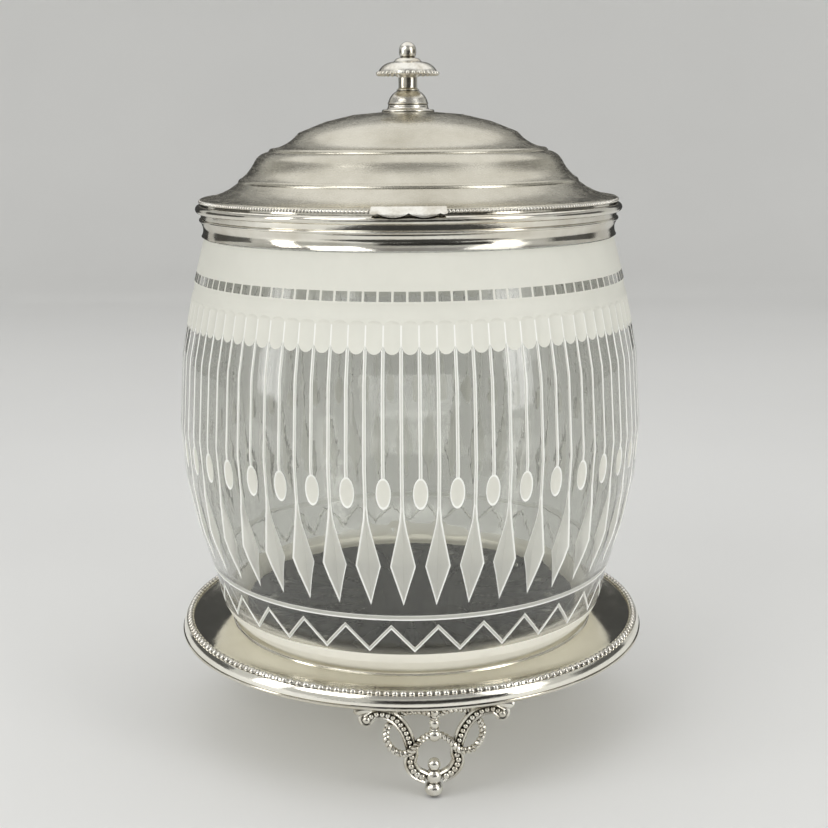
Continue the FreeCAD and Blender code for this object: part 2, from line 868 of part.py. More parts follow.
def make_hinge(dome):
    half = d.lid_knuckle_length / 2 + d.knuckle_gap
    bore_radius = d.pin_radius + d.pin_clearance
    total = (half + d.knuckle_length) * 2
    start = -(half + d.knuckle_length)

    knuckles = [
        cylinder_along_x("knuckle_left", d.knuckle_radius, start, d.knuckle_length, hinge_y, hinge_z),
        cylinder_along_x("knuckle_right", d.knuckle_radius, half, d.knuckle_length, hinge_y, hinge_z),
    ]
    plate_face = main_roll_crest + d.leaf_plate
    plate_foot = hinge_z - d.leaf_drop
    plate_back = collar_radius - d.collar_wall
    plate = primitive(
        "Box", "collar_leaf_plate", Length=total, Width=plate_face - plate_back, Height=d.leaf_drop
    )
    place(plate, start, plate_back, plate_foot)
    clear_side = d.knuckle_radius * 4
    notch = primitive(
        "Box", "lid_knuckle_notch", Length=half * 2, Width=clear_side, Height=clear_side
    )
    place(notch, -half, hinge_y - clear_side / 2, hinge_z - d.knuckle_radius - d.leaf_notch)
    curve_height = d.leaf_drop + clear_side
    curve = primitive(
        "Cylinder", "collar_curve", Radius=main_roll_crest + d.leaf_fit, Height=curve_height
    )
    place(curve, 0, 0, plate_foot - d.knuckle_radius)
    bore = cylinder_along_x("collar_leaf_bore", bore_radius, start, total, hinge_y, hinge_z)
    leaf = fused("collar_leaf_blank", knuckles + [plate])
    leaf = cut("collar_leaf_notched", leaf, notch)
    leaf = cut("collar_leaf_curved", leaf, curve)
    keep(cut("hinge_collar_leaf", leaf, bore), "hinge_collar_leaf")

    lid_start = -(d.lid_knuckle_length / 2)
    knuckle = cylinder_along_x(
        "lid_knuckle", d.knuckle_radius, lid_start, d.lid_knuckle_length, hinge_y, hinge_z
    )
    flap = primitive(
        "Box",
        "lid_leaf_flap",
        Length=d.lid_knuckle_length,
        Width=d.lid_leaf_reach + d.hinge_offset,
        Height=d.lid_leaf_sheet,
    )
    place(flap, lid_start, lid_radius - d.lid_leaf_reach, lip_top)
    lid_bore = cylinder_along_x(
        "lid_leaf_bore", bore_radius, lid_start, d.lid_knuckle_length, hinge_y, hinge_z
    )
    lid_leaf = fused("lid_leaf_blank", [knuckle, flap])
    lid_leaf = cut("lid_leaf_fitted", lid_leaf, dome)
    keep(cut("hinge_lid_leaf", lid_leaf, lid_bore), "hinge_lid_leaf")

    pin = [cylinder_along_x("pin_shank", d.pin_radius, start, total, hinge_y, hinge_z)]
    head = d.pin_head_length
    for name, head_start in (("pin_head_left", start - head), ("pin_head_right", -start)):
        pin.append(cylinder_along_x(name, d.pin_head_radius, head_start, head, hinge_y, hinge_z))
    keep(fused("hinge_pin", pin), "hinge_pin")


# Finial

def make_finial(crown):
    bore = d.stud_radius + d.stud_clearance
    rose_top = crown + d.rose_height
    dish = rose_top - d.rose_dish
    keep(
        turned(
            "finial_rose",
            [
                (bore, crown),
                (d.rose_radius, crown),
                d.rose_bulge,
                (d.rose_radius - d.rose_rim, rose_top),
                (d.rose_radius - d.rose_rim * 2, dish),
                (d.pedestal_foot_radius + d.rose_rim, dish),
                (d.pedestal_foot_radius, rose_top),
                (bore, rose_top),
            ],
        ),
        "finial_rose",
    )
    bell_foot = rose_top + d.pedestal_foot_height
    bell_rim = bell_foot + d.bell_tuck
    bell_top = bell_rim + d.bell_height
    stem_top = bell_top + d.stem_height
    keep(
        turned(
            "finial_pedestal",
            [
                (bore, rose_top),
                (d.pedestal_foot_radius, rose_top),
                (d.pedestal_foot_radius, bell_foot),
                (d.bell_radius - d.bell_rim, bell_rim - d.bell_rim),
                d.bell_rim_bulge,
                (d.bell_radius, bell_rim),
                d.bell_bulge,
                (d.bell_neck_radius, bell_top),
                (d.stem_radius, bell_top + d.bell_neck_height),
                (d.stem_radius, stem_top),
                (0, stem_top),
                (0, rose_top + d.stud_depth),
                (bore, rose_top + d.stud_depth),
            ],
        ),
        "finial_pedestal",
    )
    parasol_foot = stem_top + d.socket_height
    edge_top = parasol_foot + d.parasol_edge
    crown_foot = edge_top + d.parasol_rise - d.parasol_edge
    crown_top = crown_foot + d.crown_height
    keep(
        turned(
            "finial_parasol",
            [
                (0, stem_top),
                (d.stem_radius, stem_top),
                (d.socket_radius, parasol_foot),
                (d.parasol_radius, parasol_foot),
                (d.parasol_radius, edge_top),
                d.parasol_bulge,
                (d.crown_radius, crown_foot),
                d.crown_bulge,
                (d.knop_neck_radius, crown_top),
                (0, crown_top),
            ],
        ),
        "finial_parasol",
    )
    bead_height = parasol_foot + d.parasol_edge / 2
    wire_out(
        "parasol_bead_wire",
        d.parasol_radius,
        d.parasol_bead_radius,
        d.parasol_bead_offset,
        bead_height,
    )
    knop_girth = crown_top + d.knop_neck_rise
    quarter_round_bulge = d.knop_radius - d.knop_radius * as_size(0.5).root()
    keep(
        turned(
            "finial_knop",
            [
                (0, crown_top),
                (d.knop_neck_radius, crown_top),
                d.knop_side_bulge,
                (d.knop_radius, knop_girth),
                quarter_round_bulge,
                (0, knop_girth + d.knop_radius),
            ],
        ),
        "finial_knop",
    )
    under_crown = crown - d.lid_sheet
    washer_foot = under_crown - d.washer_thickness
    nut_foot = washer_foot - d.nut_thickness
    stud_foot = nut_foot - d.stud_tail
    stud = primitive(
        "Cylinder",
        "finial_stud",
        Radius=d.stud_radius,
        Height=rose_top + d.stud_depth - stud_foot,
    )
    keep(place(stud, 0, 0, stud_foot), "finial_stud")
    washer = [
        (bore, washer_foot),
        (d.washer_radius, washer_foot),
        (d.washer_radius, under_crown),
        (bore, under_crown),
    ]
    keep(turned("finial_washer", washer), "finial_washer")
    blank = primitive("Prism", "nut_blank", Circumradius=d.nut_radius, Height=d.nut_thickness)
    blank.Polygon = 6
    place(blank, 0, 0, nut_foot)
    nut_bore = primitive("Cylinder", "nut_bore", Radius=bore, Height=d.nut_thickness)
    place(nut_bore, 0, 0, nut_foot)
    keep(cut("finial_nut", blank, nut_bore), "finial_nut")


make_tray()
make_feet()
make_glass()
make_collar()
lid_dome, lid_crown = make_lid()
make_thumb_piece(lid_dome)
make_hinge(lid_dome)
make_finial(lid_crown)

doc.recompute()
for item in doc.Objects:
    if "Invalid" in item.State or "Error" in item.State:
        raise RuntimeError(f"{item.Name} did not rebuild: {item.State}")
os.makedirs("parts", exist_ok=True)
for piece in parts:
    shape = piece.Shape
    if shape.isNull() or not shape.isValid() or not shape.Solids:
        raise RuntimeError(f"{piece.Label} has no valid solid")
    shape.exportStep(os.path.join("parts", f"{piece.Label}.step"))
    print(f"{piece.Label}: {len(shape.Solids)} solid, {shape.Volume:.1f} mm3")
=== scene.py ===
import math

import bmesh
import bpy
import numpy as np
from mathutils import Matrix, Vector
from mathutils.geometry import delaunay_2d_cdt


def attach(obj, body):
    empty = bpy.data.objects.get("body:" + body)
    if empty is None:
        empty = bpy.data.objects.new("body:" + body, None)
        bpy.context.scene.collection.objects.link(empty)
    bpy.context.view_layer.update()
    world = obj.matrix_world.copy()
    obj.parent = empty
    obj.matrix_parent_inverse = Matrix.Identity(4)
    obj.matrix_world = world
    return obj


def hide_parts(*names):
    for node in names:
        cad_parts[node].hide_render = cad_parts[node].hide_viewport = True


# The looks of a footed cut-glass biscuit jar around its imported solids. Outlines and routes are given in
# millimetres, as (radius, height) pairs or foot-grid shares, and become metres when a piece is made.

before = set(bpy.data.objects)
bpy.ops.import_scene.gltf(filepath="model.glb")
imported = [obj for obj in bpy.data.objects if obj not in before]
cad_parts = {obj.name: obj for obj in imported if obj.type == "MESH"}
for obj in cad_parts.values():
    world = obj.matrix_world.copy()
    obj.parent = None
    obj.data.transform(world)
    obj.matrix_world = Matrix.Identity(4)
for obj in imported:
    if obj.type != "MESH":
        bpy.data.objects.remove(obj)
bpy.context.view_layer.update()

MM = 0.001
FULL_TURN = 2 * math.pi
FINE_TURNS = 360
SMALL_TURNS = 96
SHARP_ANGLE = math.radians(32)
CUT_SHARP_ANGLE = math.radians(12)
ARC_STEP = math.radians(9)
SPLINE_STEP = 0.05
TINY = 1e-6


# Meshes

def linked(name, data):
    """A new object in the scene."""
    obj = bpy.data.objects.new(name, data)
    bpy.context.scene.collection.objects.link(obj)
    return obj


class Pile:
    """Vertices and faces gathered from many small forms into one mesh."""

    def __init__(self):
        self.points = []
        self.faces = []
        self.finishes = []
        self.count = 0

    def add(self, points, faces, finish=0):
        self.points.append(np.asarray(points, float).reshape(-1, 3))
        for face in faces:
            self.faces.append([int(index) + self.count for index in face])
            self.finishes.append(finish)
        self.count += len(self.points[-1])

    def piece(self, name, body, materials, replaced):
        """The object that shows in place of the replaced node and moves with its body."""
        mesh = bpy.data.meshes.new(name)
        mesh.from_pydata((np.vstack(self.points) * MM).tolist(), [], self.faces)
        mesh.polygons.foreach_set("material_index", self.finishes)
        mesh.polygons.foreach_set("use_smooth", [True] * len(mesh.polygons))
        mesh.set_sharp_from_angle(angle=SHARP_ANGLE)
        for material in materials:
            mesh.materials.append(material)
        mesh.update()
        obj = linked(name, mesh)
        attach(obj, body)
        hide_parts(replaced)
        return obj


def bowed(start, end, bulge):
    """Points from start up to but not at end, on an arc that bulges to the right of the run."""
    start, end = np.array(start, float), np.array(end, float)
    run = end - start
    chord = np.hypot(*run)
    radius = (chord * chord / 4 + bulge * bulge) / (2 * abs(bulge))
    half = math.asin(min(1.0, chord / (2 * radius)))
    if abs(bulge) > chord / 2:
        half = math.pi - half
    count = max(2, math.ceil(2 * half / ARC_STEP))
    side = math.copysign(1, bulge)
    normal = np.array([run[1], -run[0]]) / chord * side
    along = run / chord
    centre = (start + end) / 2 + normal * (abs(bulge) - radius)
    points = []
    for step in range(count):
        angle = half * (2 * step / count - 1)
        points.append(centre + radius * (along * math.sin(angle) + normal * math.cos(angle)))
    return points


def outline(items):
    """A closed outline's points. A lone number between two corners is the bulge of the run there."""
    corners = []
    bulges = []
    for item in items:
        if isinstance(item, tuple):
            corners.append(item)
            bulges.append(0)
        else:
            bulges[-1] = item
    points = []
    for corner, bulge, following in zip(corners, bulges, corners[1:] + corners[:1]):
        points += bowed(corner, following, bulge) if bulge else [np.array(corner, float)]
    return np.array(points)


def lathe(points, turns, closed=True, start=0.0, span=FULL_TURN):
    """A profile of radii and heights turned about the jar's axis."""
    points = np.asarray(points, float)
    columns = turns if span == FULL_TURN else turns + 1
    angles = start + span * np.arange(columns) / turns
    rows = len(points)
    spots = np.zeros((columns, rows, 3))
    spots[:, :, 0] = points[None, :, 0] * np.sin(angles)[:, None]
    spots[:, :, 1] = -points[None, :, 0] * np.cos(angles)[:, None]
    spots[:, :, 2] = points[None, :, 1]
    faces = []
    for column in range(turns):
        after = (column + 1) % columns
        for row in range(rows if closed else rows - 1):
            below = (row + 1) % rows
            near, far = column * rows, after * rows
            faces.append((near + row, far + row, far + below, near + below))
    return spots.reshape(-1, 3), faces


def turned(name, body, material, items, replaced, turns=FINE_TURNS):
    """A turned piece with a closed outline, joined up where it meets the axis."""
    pile = Pile()
    pile.add(*lathe(outline(items), turns))
    weld(pile.piece(name, body, [material], replaced))


def weld(obj, distance=TINY):
    """Joins vertices that coincide, clears what collapses and turns the faces outwards. Without a distance
    it only does the last."""
    work = bmesh.new()
    work.from_mesh(obj.data)
    if distance:
        bmesh.ops.remove_doubles(work, verts=work.verts, dist=distance)
        bmesh.ops.dissolve_degenerate(work, edges=work.edges, dist=distance / 10)
    bmesh.ops.recalc_face_normals(work, faces=work.faces)
    work.to_mesh(obj.data)
    work.free()


def unit_ball(subdivisions):
    work = bmesh.new()
    bmesh.ops.create_icosphere(work, subdivisions=subdivisions, radius=1.0)
    points = np.array([vertex.co[:] for vertex in work.verts])
    faces = [[vertex.index for vertex in face.verts] for face in work.faces]
    work.free()
    return points, faces


SMALL_BALL = unit_ball(2)
ROUND_BALL = unit_ball(3)


def ball(pile, centre, radius, stretch=(1, 1, 1), form=SMALL_BALL):
    points, faces = form
    pile.add(points * np.array(stretch) * radius + np.asarray(centre, float), faces)


def frames_along(line):
    """Two steady cross directions at each point of a line."""
    tangents = np.gradient(line, axis=0)
    tangents /= np.linalg.norm(tangents, axis=1)[:, None]
    side = np.array((0.0, 1.0, 0.0))
    sides = []
    for tangent in tangents:
        side = side - tangent * side.dot(tangent)
        side /= np.linalg.norm(side)
        sides.append(side)
    sides = np.array(sides)
    return sides, np.cross(tangents, sides)


def sweep(pile, line, section, scales=None):
    """A closed section (across, out) carried along a line, with flat ends."""
    sides, across = frames_along(line)
    section = np.asarray(section, float)
    scales = np.ones(len(line)) if scales is None else np.asarray(scales, float)
    points = (
        line[:, None, :]
        + across[:, None, :] * section[None, :, 0:1] * scales[:, None, None]
        + sides[:, None, :] * section[None, :, 1:2] * scales[:, None, None]
    )
    count = len(section)
    faces = []
    for row in range(len(line) - 1):
        for column in range(count):
            after = (column + 1) % count
            low, high = row * count, (row + 1) * count
            faces.append((low + column, low + after, high + after, high + column))
    faces.append(tuple(reversed(range(count))))
    last = (len(line) - 1) * count
    faces.append(tuple(range(last, last + count)))
    pile.add(points.reshape(-1, 3), faces)


def circle(radius, count=10):
    angles = FULL_TURN * np.arange(count) / count
    return np.stack([np.cos(angles), np.sin(angles)], axis=1) * radius


def smooth_line(points, step):
    """A curve through the points, at even steps."""
    points = np.array(points, float)
    padded = np.vstack([2 * points[0] - points[1], points, 2 * points[-1] - points[-2]])
    fine = []
    for a, b, c, e in zip(padded, padded[1:], padded[2:], padded[3:]):
        bend = 2 * a - 5 * b + 4 * c - e
        twist = 3 * b - a - 3 * c + e
        for t in np.arange(0, 1, SPLINE_STEP):
            fine.append(0.5 * (2 * b + (c - a) * t + bend * t**2 + twist * t**3))
    fine.append(points[-1])
    fine = np.array(fine)
    lengths = np.concatenate([[0], np.cumsum(np.linalg.norm(np.diff(fine, axis=0), axis=1))])
    count = max(2, round(lengths[-1] / step))
    wanted = np.linspace(0, lengths[-1], count + 1)
    return np.stack([np.interp(wanted, lengths, fine[:, axis]) for axis in range(3)], axis=1)


# Materials

def node(tree, kind, **values):
    made = tree.nodes.new(kind)
    for name, value in values.items():
        setattr(made, name, value)
    return made


def plain_material(name):
    material = bpy.data.materials.new(name)
    material.use_nodes = True
    return material, material.node_tree, material.node_tree.nodes["Principled BSDF"]


def noise(tree, scale, detail=4.0, roughness=0.5, stretch=(1, 1, 1)):
    """A noise in the piece's own coordinates, in metres."""
    place = node(tree, "ShaderNodeTexCoord")
    mapping = node(tree, "ShaderNodeMapping")
    mapping.inputs["Scale"].default_value = stretch
    texture = node(tree, "ShaderNodeTexNoise")
    texture.inputs["Scale"].default_value = scale
    texture.inputs["Detail"].default_value = detail
    texture.inputs["Roughness"].default_value = roughness
    tree.links.new(place.outputs["Object"], mapping.inputs["Vector"])
    tree.links.new(mapping.outputs["Vector"], texture.inputs["Vector"])
    return texture.outputs["Fac"]


def ramp(tree, source, stops):
    """Colours or greys along a value."""
    made = node(tree, "ShaderNodeValToRGB")
    elements = made.color_ramp.elements
    while len(elements) < len(stops):
        elements.new(0.5)
    for element, (position, colour) in zip(elements, stops):
        element.position = position
        element.color = (*colour, 1) if isinstance(colour, tuple) else (colour, colour, colour, 1)
    tree.links.new(source, made.inputs["Fac"])
    return made.outputs["Color"]


def bump(tree, shader, height, strength, distance):
    made = node(tree, "ShaderNodeBump")
    made.inputs["Strength"].default_value = strength
    made.inputs["Distance"].default_value = distance
    tree.links.new(height, made.inputs["Height"])
    tree.links.new(made.outputs["Normal"], shader.inputs["Normal"])
    return made


PATCH_STOPS = (0.34, 0.62)
MARK_STOPS = (0.35, 0.72)
MARKS_FINER = 5
GRAIN_FINER = 26
# Painted shade in hollows: the ambient occlusion's grey, from near black to white, darkens the silver's
# colour.
CREVICE_PAINTED_SHADE = [(0.32, (0.10, 0.09, 0.07)), (0.80, (1.0, 1.0, 1.0))]
CREVICE_SHADE_SAMPLES = 12


def silver(name, pale, dull, roughness, patch_scale, scratch, relief, crevice=None):
    """Plated silver. Its colour goes from dull to pale in patches and its roughness from low to high in
    marks. Scratch stretches the marks, and relief is a strength and a depth. Hollows narrower than the
    crevice get painted shade: ambient occlusion darkens the colour there."""
    material, tree, shader = plain_material(name)
    shader.inputs["Metallic"].default_value = 1.0
    patches = noise(tree, patch_scale, detail=6.0, roughness=0.62)
    colour = ramp(tree, patches, list(zip(PATCH_STOPS, (dull, pale))))
    if crevice is not None:
        # Painted shade: the colour is multiplied by ambient occlusion, so hollows come out darker.
        shade = node(tree, "ShaderNodeAmbientOcclusion", samples=CREVICE_SHADE_SAMPLES)
        shade.inputs["Distance"].default_value = crevice
        mix = node(tree, "ShaderNodeMix", data_type="RGBA", blend_type="MULTIPLY")
        mix.inputs["Factor"].default_value = 1.0
        tree.links.new(colour, mix.inputs["A"])
        tree.links.new(ramp(tree, shade.outputs["AO"], CREVICE_PAINTED_SHADE), mix.inputs["B"])
        colour = mix.outputs["Result"]
    tree.links.new(colour, shader.inputs["Base Color"])
    marks = noise(tree, patch_scale * MARKS_FINER, detail=5.0, roughness=0.7, stretch=scratch)
    tree.links.new(ramp(tree, marks, list(zip(MARK_STOPS, roughness))), shader.inputs["Roughness"])
    grain = noise(tree, patch_scale * GRAIN_FINER, detail=3.0, roughness=0.6, stretch=scratch)
    bump(tree, shader, grain, *relief)
    return material


POLISHED = silver(
    "polished_silver", (0.84, 0.82, 0.75), (0.62, 0.58, 0.49), (0.04, 0.15), 38, (1, 1, 6), (0.12, 0.00012)
)
SATIN = silver(
    "satin_silver", (0.66, 0.63, 0.54), (0.50, 0.47, 0.385), (0.20, 0.34), 30, (1, 1, 8), (0.15, 0.00015)
)
# Cast silver, with painted shade in its hollows.
CAST = silver(
    "cast_silver", (0.88, 0.86, 0.79), (0.62, 0.58, 0.49), (0.10, 0.26), 170, (1, 1, 1), (0.2, 0.0002), 0.0022
)
TRAY = silver(
    "tray_silver", (0.98, 0.96, 0.88), (0.92, 0.89, 0.80), (0.06, 0.18), 34, (1, 1, 6), (0.12, 0.00012)
)
# Bead silver, with painted shade in its hollows.
BEAD = silver(
    "bead_silver", (0.88, 0.86, 0.80), (0.68, 0.64, 0.56), (0.06, 0.14), 90, (1, 1, 1), (0.1, 0.0001), 0.0012
)
STEEL = silver(
    "hinge_steel", (0.62, 0.60, 0.56), (0.36, 0.33, 0.29), (0.25, 0.45), 220, (1, 1, 1), (0.3, 0.0002)
)


BACK_TRANSMISSION = 0.92
CLOUD_SHADE = 0.95
CLOUD_STOPS = (0.35, 0.65)
HAZE_STOPS = (0.3, 0.7)
GLASS_GRAIN_FINER = 7
STREAK_STRETCH = (1, 1, 0.03)


def glass(name, colour, transmission, roughness, grain, streak=None):
    """Polished, ground or cut glass. Grain is its scale, the least and greatest share of the roughness, and
    the relief's strength and depth. Streaks, with a scale, strength and depth, run up and down. From inside
    the glass, light comes through a ground face."""
    material, tree, shader = plain_material(name)
    shader.inputs["IOR"].default_value = 1.5
    shader.inputs["Transmission Weight"].default_value = transmission
    if transmission < 1:
        face = node(tree, "ShaderNodeNewGeometry")
        share = ramp(tree, face.outputs["Backfacing"], [(0.0, transmission), (1.0, BACK_TRANSMISSION)])
        tree.links.new(share, shader.inputs["Transmission Weight"])
    scale, low, high, strength, distance = grain
    cloud = noise(tree, scale, detail=4.0, roughness=0.6)
    darker = tuple(value * CLOUD_SHADE for value in colour)
    tree.links.new(ramp(tree, cloud, list(zip(CLOUD_STOPS, (darker, colour)))), shader.inputs["Base Color"])
    haze = list(zip(HAZE_STOPS, (roughness * low, roughness * high)))
    tree.links.new(ramp(tree, cloud, haze), shader.inputs["Roughness"])
    fine = noise(tree, scale * GLASS_GRAIN_FINER, detail=2.0, roughness=0.5)
    grained = bump(tree, shader, fine, strength, distance)
    if streak is not None:
        streak_scale, streak_strength, streak_distance = streak
        streaks = noise(tree, streak_scale, detail=3.0, roughness=0.6, stretch=STREAK_STRETCH)
        run = bump(tree, shader, streaks, streak_strength, streak_distance)
        tree.links.new(run.outputs["Normal"], grained.inputs["Normal"])
        tree.links.new(grained.outputs["Normal"], shader.inputs["Normal"])
    return material


def let_lamps_through(material, tint):
    """Lets the lamps light what stands behind clear glass."""
    tree = material.node_tree
    end = tree.nodes["Material Output"].inputs["Surface"]
    shader = end.links[0].from_socket
    path = node(tree, "ShaderNodeLightPath")
    passing = node(tree, "ShaderNodeBsdfTransparent")
    passing.inputs["Color"].default_value = (*tint, 1)
    mix = node(tree, "ShaderNodeMixShader")
    tree.links.new(path.outputs["Is Shadow Ray"], mix.inputs["Fac"])
    tree.links.new(shader, mix.inputs[1])
    tree.links.new(passing.outputs["BSDF"], mix.inputs[2])
    tree.links.new(mix.outputs["Shader"], end)


CLEAR = glass(
    "clear_glass", (0.78, 0.785, 0.755), 1.0, 0.03, (40, 0.3, 1.5, 0.03, 0.0001), (260, 0.2, 0.00012)
)
let_lamps_through(CLEAR, (0.93, 0.93, 0.91))
FROST = glass("ground_glass", (0.77, 0.765, 0.69), 0.2, 0.55, (60, 0.9, 1.1, 0.12, 0.0001))
EDGE = glass("cut_edge_glass", (0.96, 0.96, 0.92), 0.12, 0.35, (90, 0.8, 1.2, 0.1, 0.0001))
FACET = glass("cut_facet_glass", (0.70, 0.70, 0.64), 0.40, 0.38, (50, 0.8, 1.2, 0.12, 0.0001))
# The base band's ground glass is painted paler than the other frost. The extra paleness stands in for light
# bounced up from the tray.
PAINTED_BOUNCE_FROST = glass("ground_glass_painted_bounce_light", (0.96, 0.94, 0.85), 0.05, 0.55, (60, 0.9, 1.1, 0.12, 0.0001))

# The glass's finishes, and the base band's frost with painted bounce light, are places in its list of
# materials.
GLASS_MATERIALS = [CLEAR, FROST, EDGE, FACET, PAINTED_BOUNCE_FROST]
UNCUT, GROUND, CUT_EDGE, CUT_FACET, GROUND_PAINTED_BOUNCE = range(len(GLASS_MATERIALS))


def cement_material():
    material, tree, shader = plain_material("plaster")
    cloud = noise(tree, 300, detail=5.0, roughness=0.6)
    colour = ramp(tree, cloud, [(0.3, (0.66, 0.63, 0.56)), (0.7, (0.82, 0.80, 0.74))])
    tree.links.new(colour, shader.inputs["Base Color"])
    shader.inputs["Roughness"].default_value = 0.85
    bump(tree, shader, cloud, 0.4, 0.0004)
    return material


CEMENT = cement_material()


# Cut glass. The pattern is drawn flat on one of fifteen equal sectors, across in millimetres at a
# reference radius and up in real heights, then cut into the barrel and repeated round it.

SECTORS = 15
SECTOR_ANGLE = FULL_TURN / SECTORS
REFERENCE_RADIUS = 84.0
SECTOR_WIDTH = REFERENCE_RADIUS * SECTOR_ANGLE
PITCH = SECTOR_WIDTH / 6
WINDOW_PITCH = SECTOR_WIDTH / 7
ZIGZAG_PITCH = SECTOR_WIDTH / 2
PATTERN_START = math.radians(-3.9)
ZIGZAG_SHIFT = math.radians(-1.3) * REFERENCE_RADIUS

BASE_RIM = (67.0, 40.7)
BELLY_FOOT = (82.3, 80.0)
BELLY = (87.5, 119.0)
BELLY_TOP = (80.1, 172.0)
SHOULDER = (76.0, 187.4)
NECK_ROOT = (74.0, 188.4)


def belly_arc(end):
    """The bulge of an arc that leaves the belly straight up or down."""
    across, along = BELLY[0] - end[0], BELLY[1] - end[1]
    radius = (across * across + along * along) / (2 * across)
    return radius - math.sqrt(radius * radius - (across * across + along * along) / 4)


GLASS_SIDE = [
    BASE_RIM, 1.6, (75.0, 53.0), (76.7, 61.4), BELLY_FOOT, belly_arc(BELLY_FOOT), BELLY,
    belly_arc(BELLY_TOP), BELLY_TOP, SHOULDER, NECK_ROOT,
]
GLASS_FOOT = BASE_RIM[1]
GLASS_TOP = SHOULDER[1]
GLASS_NECK = [SHOULDER, NECK_ROOT, (74.0, 196.9), (73.7, 197.2), (70.3, 197.2), (70.0, 196.9), (70.0, 188.4)]
WALL = 4.0
WALL_HEIGHTS = [*np.arange(BELLY_TOP[1], 53.0, -3.5), 53.0]
GLASS_FLOOR = [(70.3, 51.2), (68.6, 48.6), (65.0, 46.9), (62.0, 46.7), (40.0, 46.7), (20.0, 46.7), (0, 46.7)]

LINE_HALF = 0.55
LINE_CORE = 0.22
LINE_SHADE = 0.4
LINE_DEPTH = 0.3
LINE_TOP = 158.4
LINE_FULL = 156.9
LINE_LAP = 0.2
GROOVE_WALL = 0.8
KITE_TOP = 106.0
KITE_GIRDLE = (4.3, 84.7)
KITE_FOOT = 69.5
KITE = [(LINE_HALF, KITE_TOP), (0.95, 101.0), (1.75, 96.5), KITE_GIRDLE, (0.0, KITE_FOOT)]
KITE_EDGE = 0.47
KITE_CORE = 0.08
KITE_BEVEL = 0.35
KITE_DEPTH = 1.7
KITE_RUNOUT = 1.8
OVAL_HALF = 2.4
OVAL_REACH = 5.4
OVAL_HEIGHT = 110.6
OVAL_DEPTH = 0.8
OVAL_RINGS = (1.0, 0.86, 0.55, 0.22)
FLUTE_HALF = PITCH / 2 - 0.22
FLUTE_RUN = (158.6, 164.9)
FLUTE_ENDS = (2.9, 1.4)
FLUTE_DEPTH = 0.5
FLUTE_RINGS = (1.0, 0.85, 0.55, 0.22)
FLUTE_TOP_ANGLES = (90, 60, 30, 0)
FLUTE_FOOT_ANGLES = (0, -18, -36, -54, -72, -90)
FLUTE_GAP = 0.5
BAND_HOLLOW = (166.9, 171.7, 0.4)
BAND_SHARES = (0, 0.12, 0.3, 0.5, 0.7, 0.88, 1)
WINDOWS = (172.2, 175.4)
WINDOW_BAR = 0.42
RING = (63.5, 65.5)
RING_EDGE = 0.42
ZIGZAG = (51.9, 60.8)
ZIGZAG_HALF = 0.95
ZIGZAG_CORE = 0.4
ZIGZAG_DEPTH = 0.4
BASE_BAND = 50.0

# Each motif is drawn past both edges of the sector.
WINDOW_COPIES = range(-4, 12)
FLUTE_COPIES = range(-3, 10)
ZIGZAG_COPIES = range(-3, 8)
LONGEST_CHORD = 2.6
DRAWING_GAP = 1e-4

# Points on the uncut glass: how many stand side by side, their rise and how far they keep from the cutting.
PLAIN_COLUMNS = 20
PLAIN_RISE = 3.1
PLAIN_FIRST = 2.4
PLAIN_REACH = 0.5
PLAIN_GAP = 0.6

STAR_RAYS = 20
STAR_STEP = FULL_TURN / STAR_RAYS
STAR_INNER = 20.0
STAR_WIDEST = 55.0
STAR_OUTER = 62.0
STAR_HALF = 0.085
STAR_DEPTH = 0.7


def side_profile():
    """The barrel's outer radius by height."""
    points = outline(GLASS_SIDE)
    order = np.argsort(points[:, 1])
    return points[order, 1], points[order, 0]


SIDE_HEIGHTS, SIDE_RADII = side_profile()


def folded(across, middle, period):
    return (across - middle + period / 2) % period - period / 2


def kite_half(height):
    heights = [point[1] for point in reversed(KITE)]
    halves = [point[0] for point in reversed(KITE)]
    return float(np.interp(height, heights, halves, left=0.0, right=0.0))


def zigzag_height(across):
    share = abs(((across - ZIGZAG_SHIFT) / ZIGZAG_PITCH) % 1.0 - 0.5) * 2
    return ZIGZAG[0] + (ZIGZAG[1] - ZIGZAG[0]) * share


def flute_share(across, height):
    """0 in the middle of a flute and 1 on its edge."""
    x = abs(folded(across, 0, PITCH)) / FLUTE_HALF
    low, high = FLUTE_RUN
    middle = (low + high) / 2
    reach = FLUTE_ENDS[0] if height < middle else FLUTE_ENDS[1]
    run = (high - low) / 2
    beyond = max(0.0, abs(height - middle) - run) / reach
    return math.hypot(x, beyond)


def groove(offset, half, core, depth):
    """The depth of a cut line with bevelled sides and a shallow floor."""
    if offset >= half:
        return 0.0
    if offset > core:
        return depth * GROOVE_WALL * (half - offset) / (half - core)
    return depth * (1 - (1 - GROOVE_WALL) * offset / core)


def line_half(height, foot):
    if height < foot or height > LINE_TOP:
        return 0.0
    return LINE_HALF * min(1.0, (LINE_TOP - height) / (LINE_TOP - LINE_FULL))


def line_foot(is_kite):
    """Where a line ends below, at a kite's top or just inside an oval's."""
    return KITE_TOP if is_kite else OVAL_HEIGHT + OVAL_REACH - LINE_LAP


def kite_cut(side, half, height):
    """The depth and finish in a kite, which has a bevelled edge and two facets that meet in its middle."""
    inner = half - KITE_EDGE
    if side > inner:
        return KITE_BEVEL * (half - side) / KITE_EDGE, CUT_EDGE
    heights = [KITE_FOOT, KITE_FOOT + KITE_RUNOUT, KITE_GIRDLE[1], KITE_TOP]
    middle = float(np.interp(height, heights, [KITE_BEVEL, KITE_BEVEL, KITE_DEPTH, LINE_DEPTH]))
    middle = max(middle, KITE_BEVEL)
    return KITE_BEVEL + (middle - KITE_BEVEL) * (1 - side / max(inner, TINY)), CUT_FACET


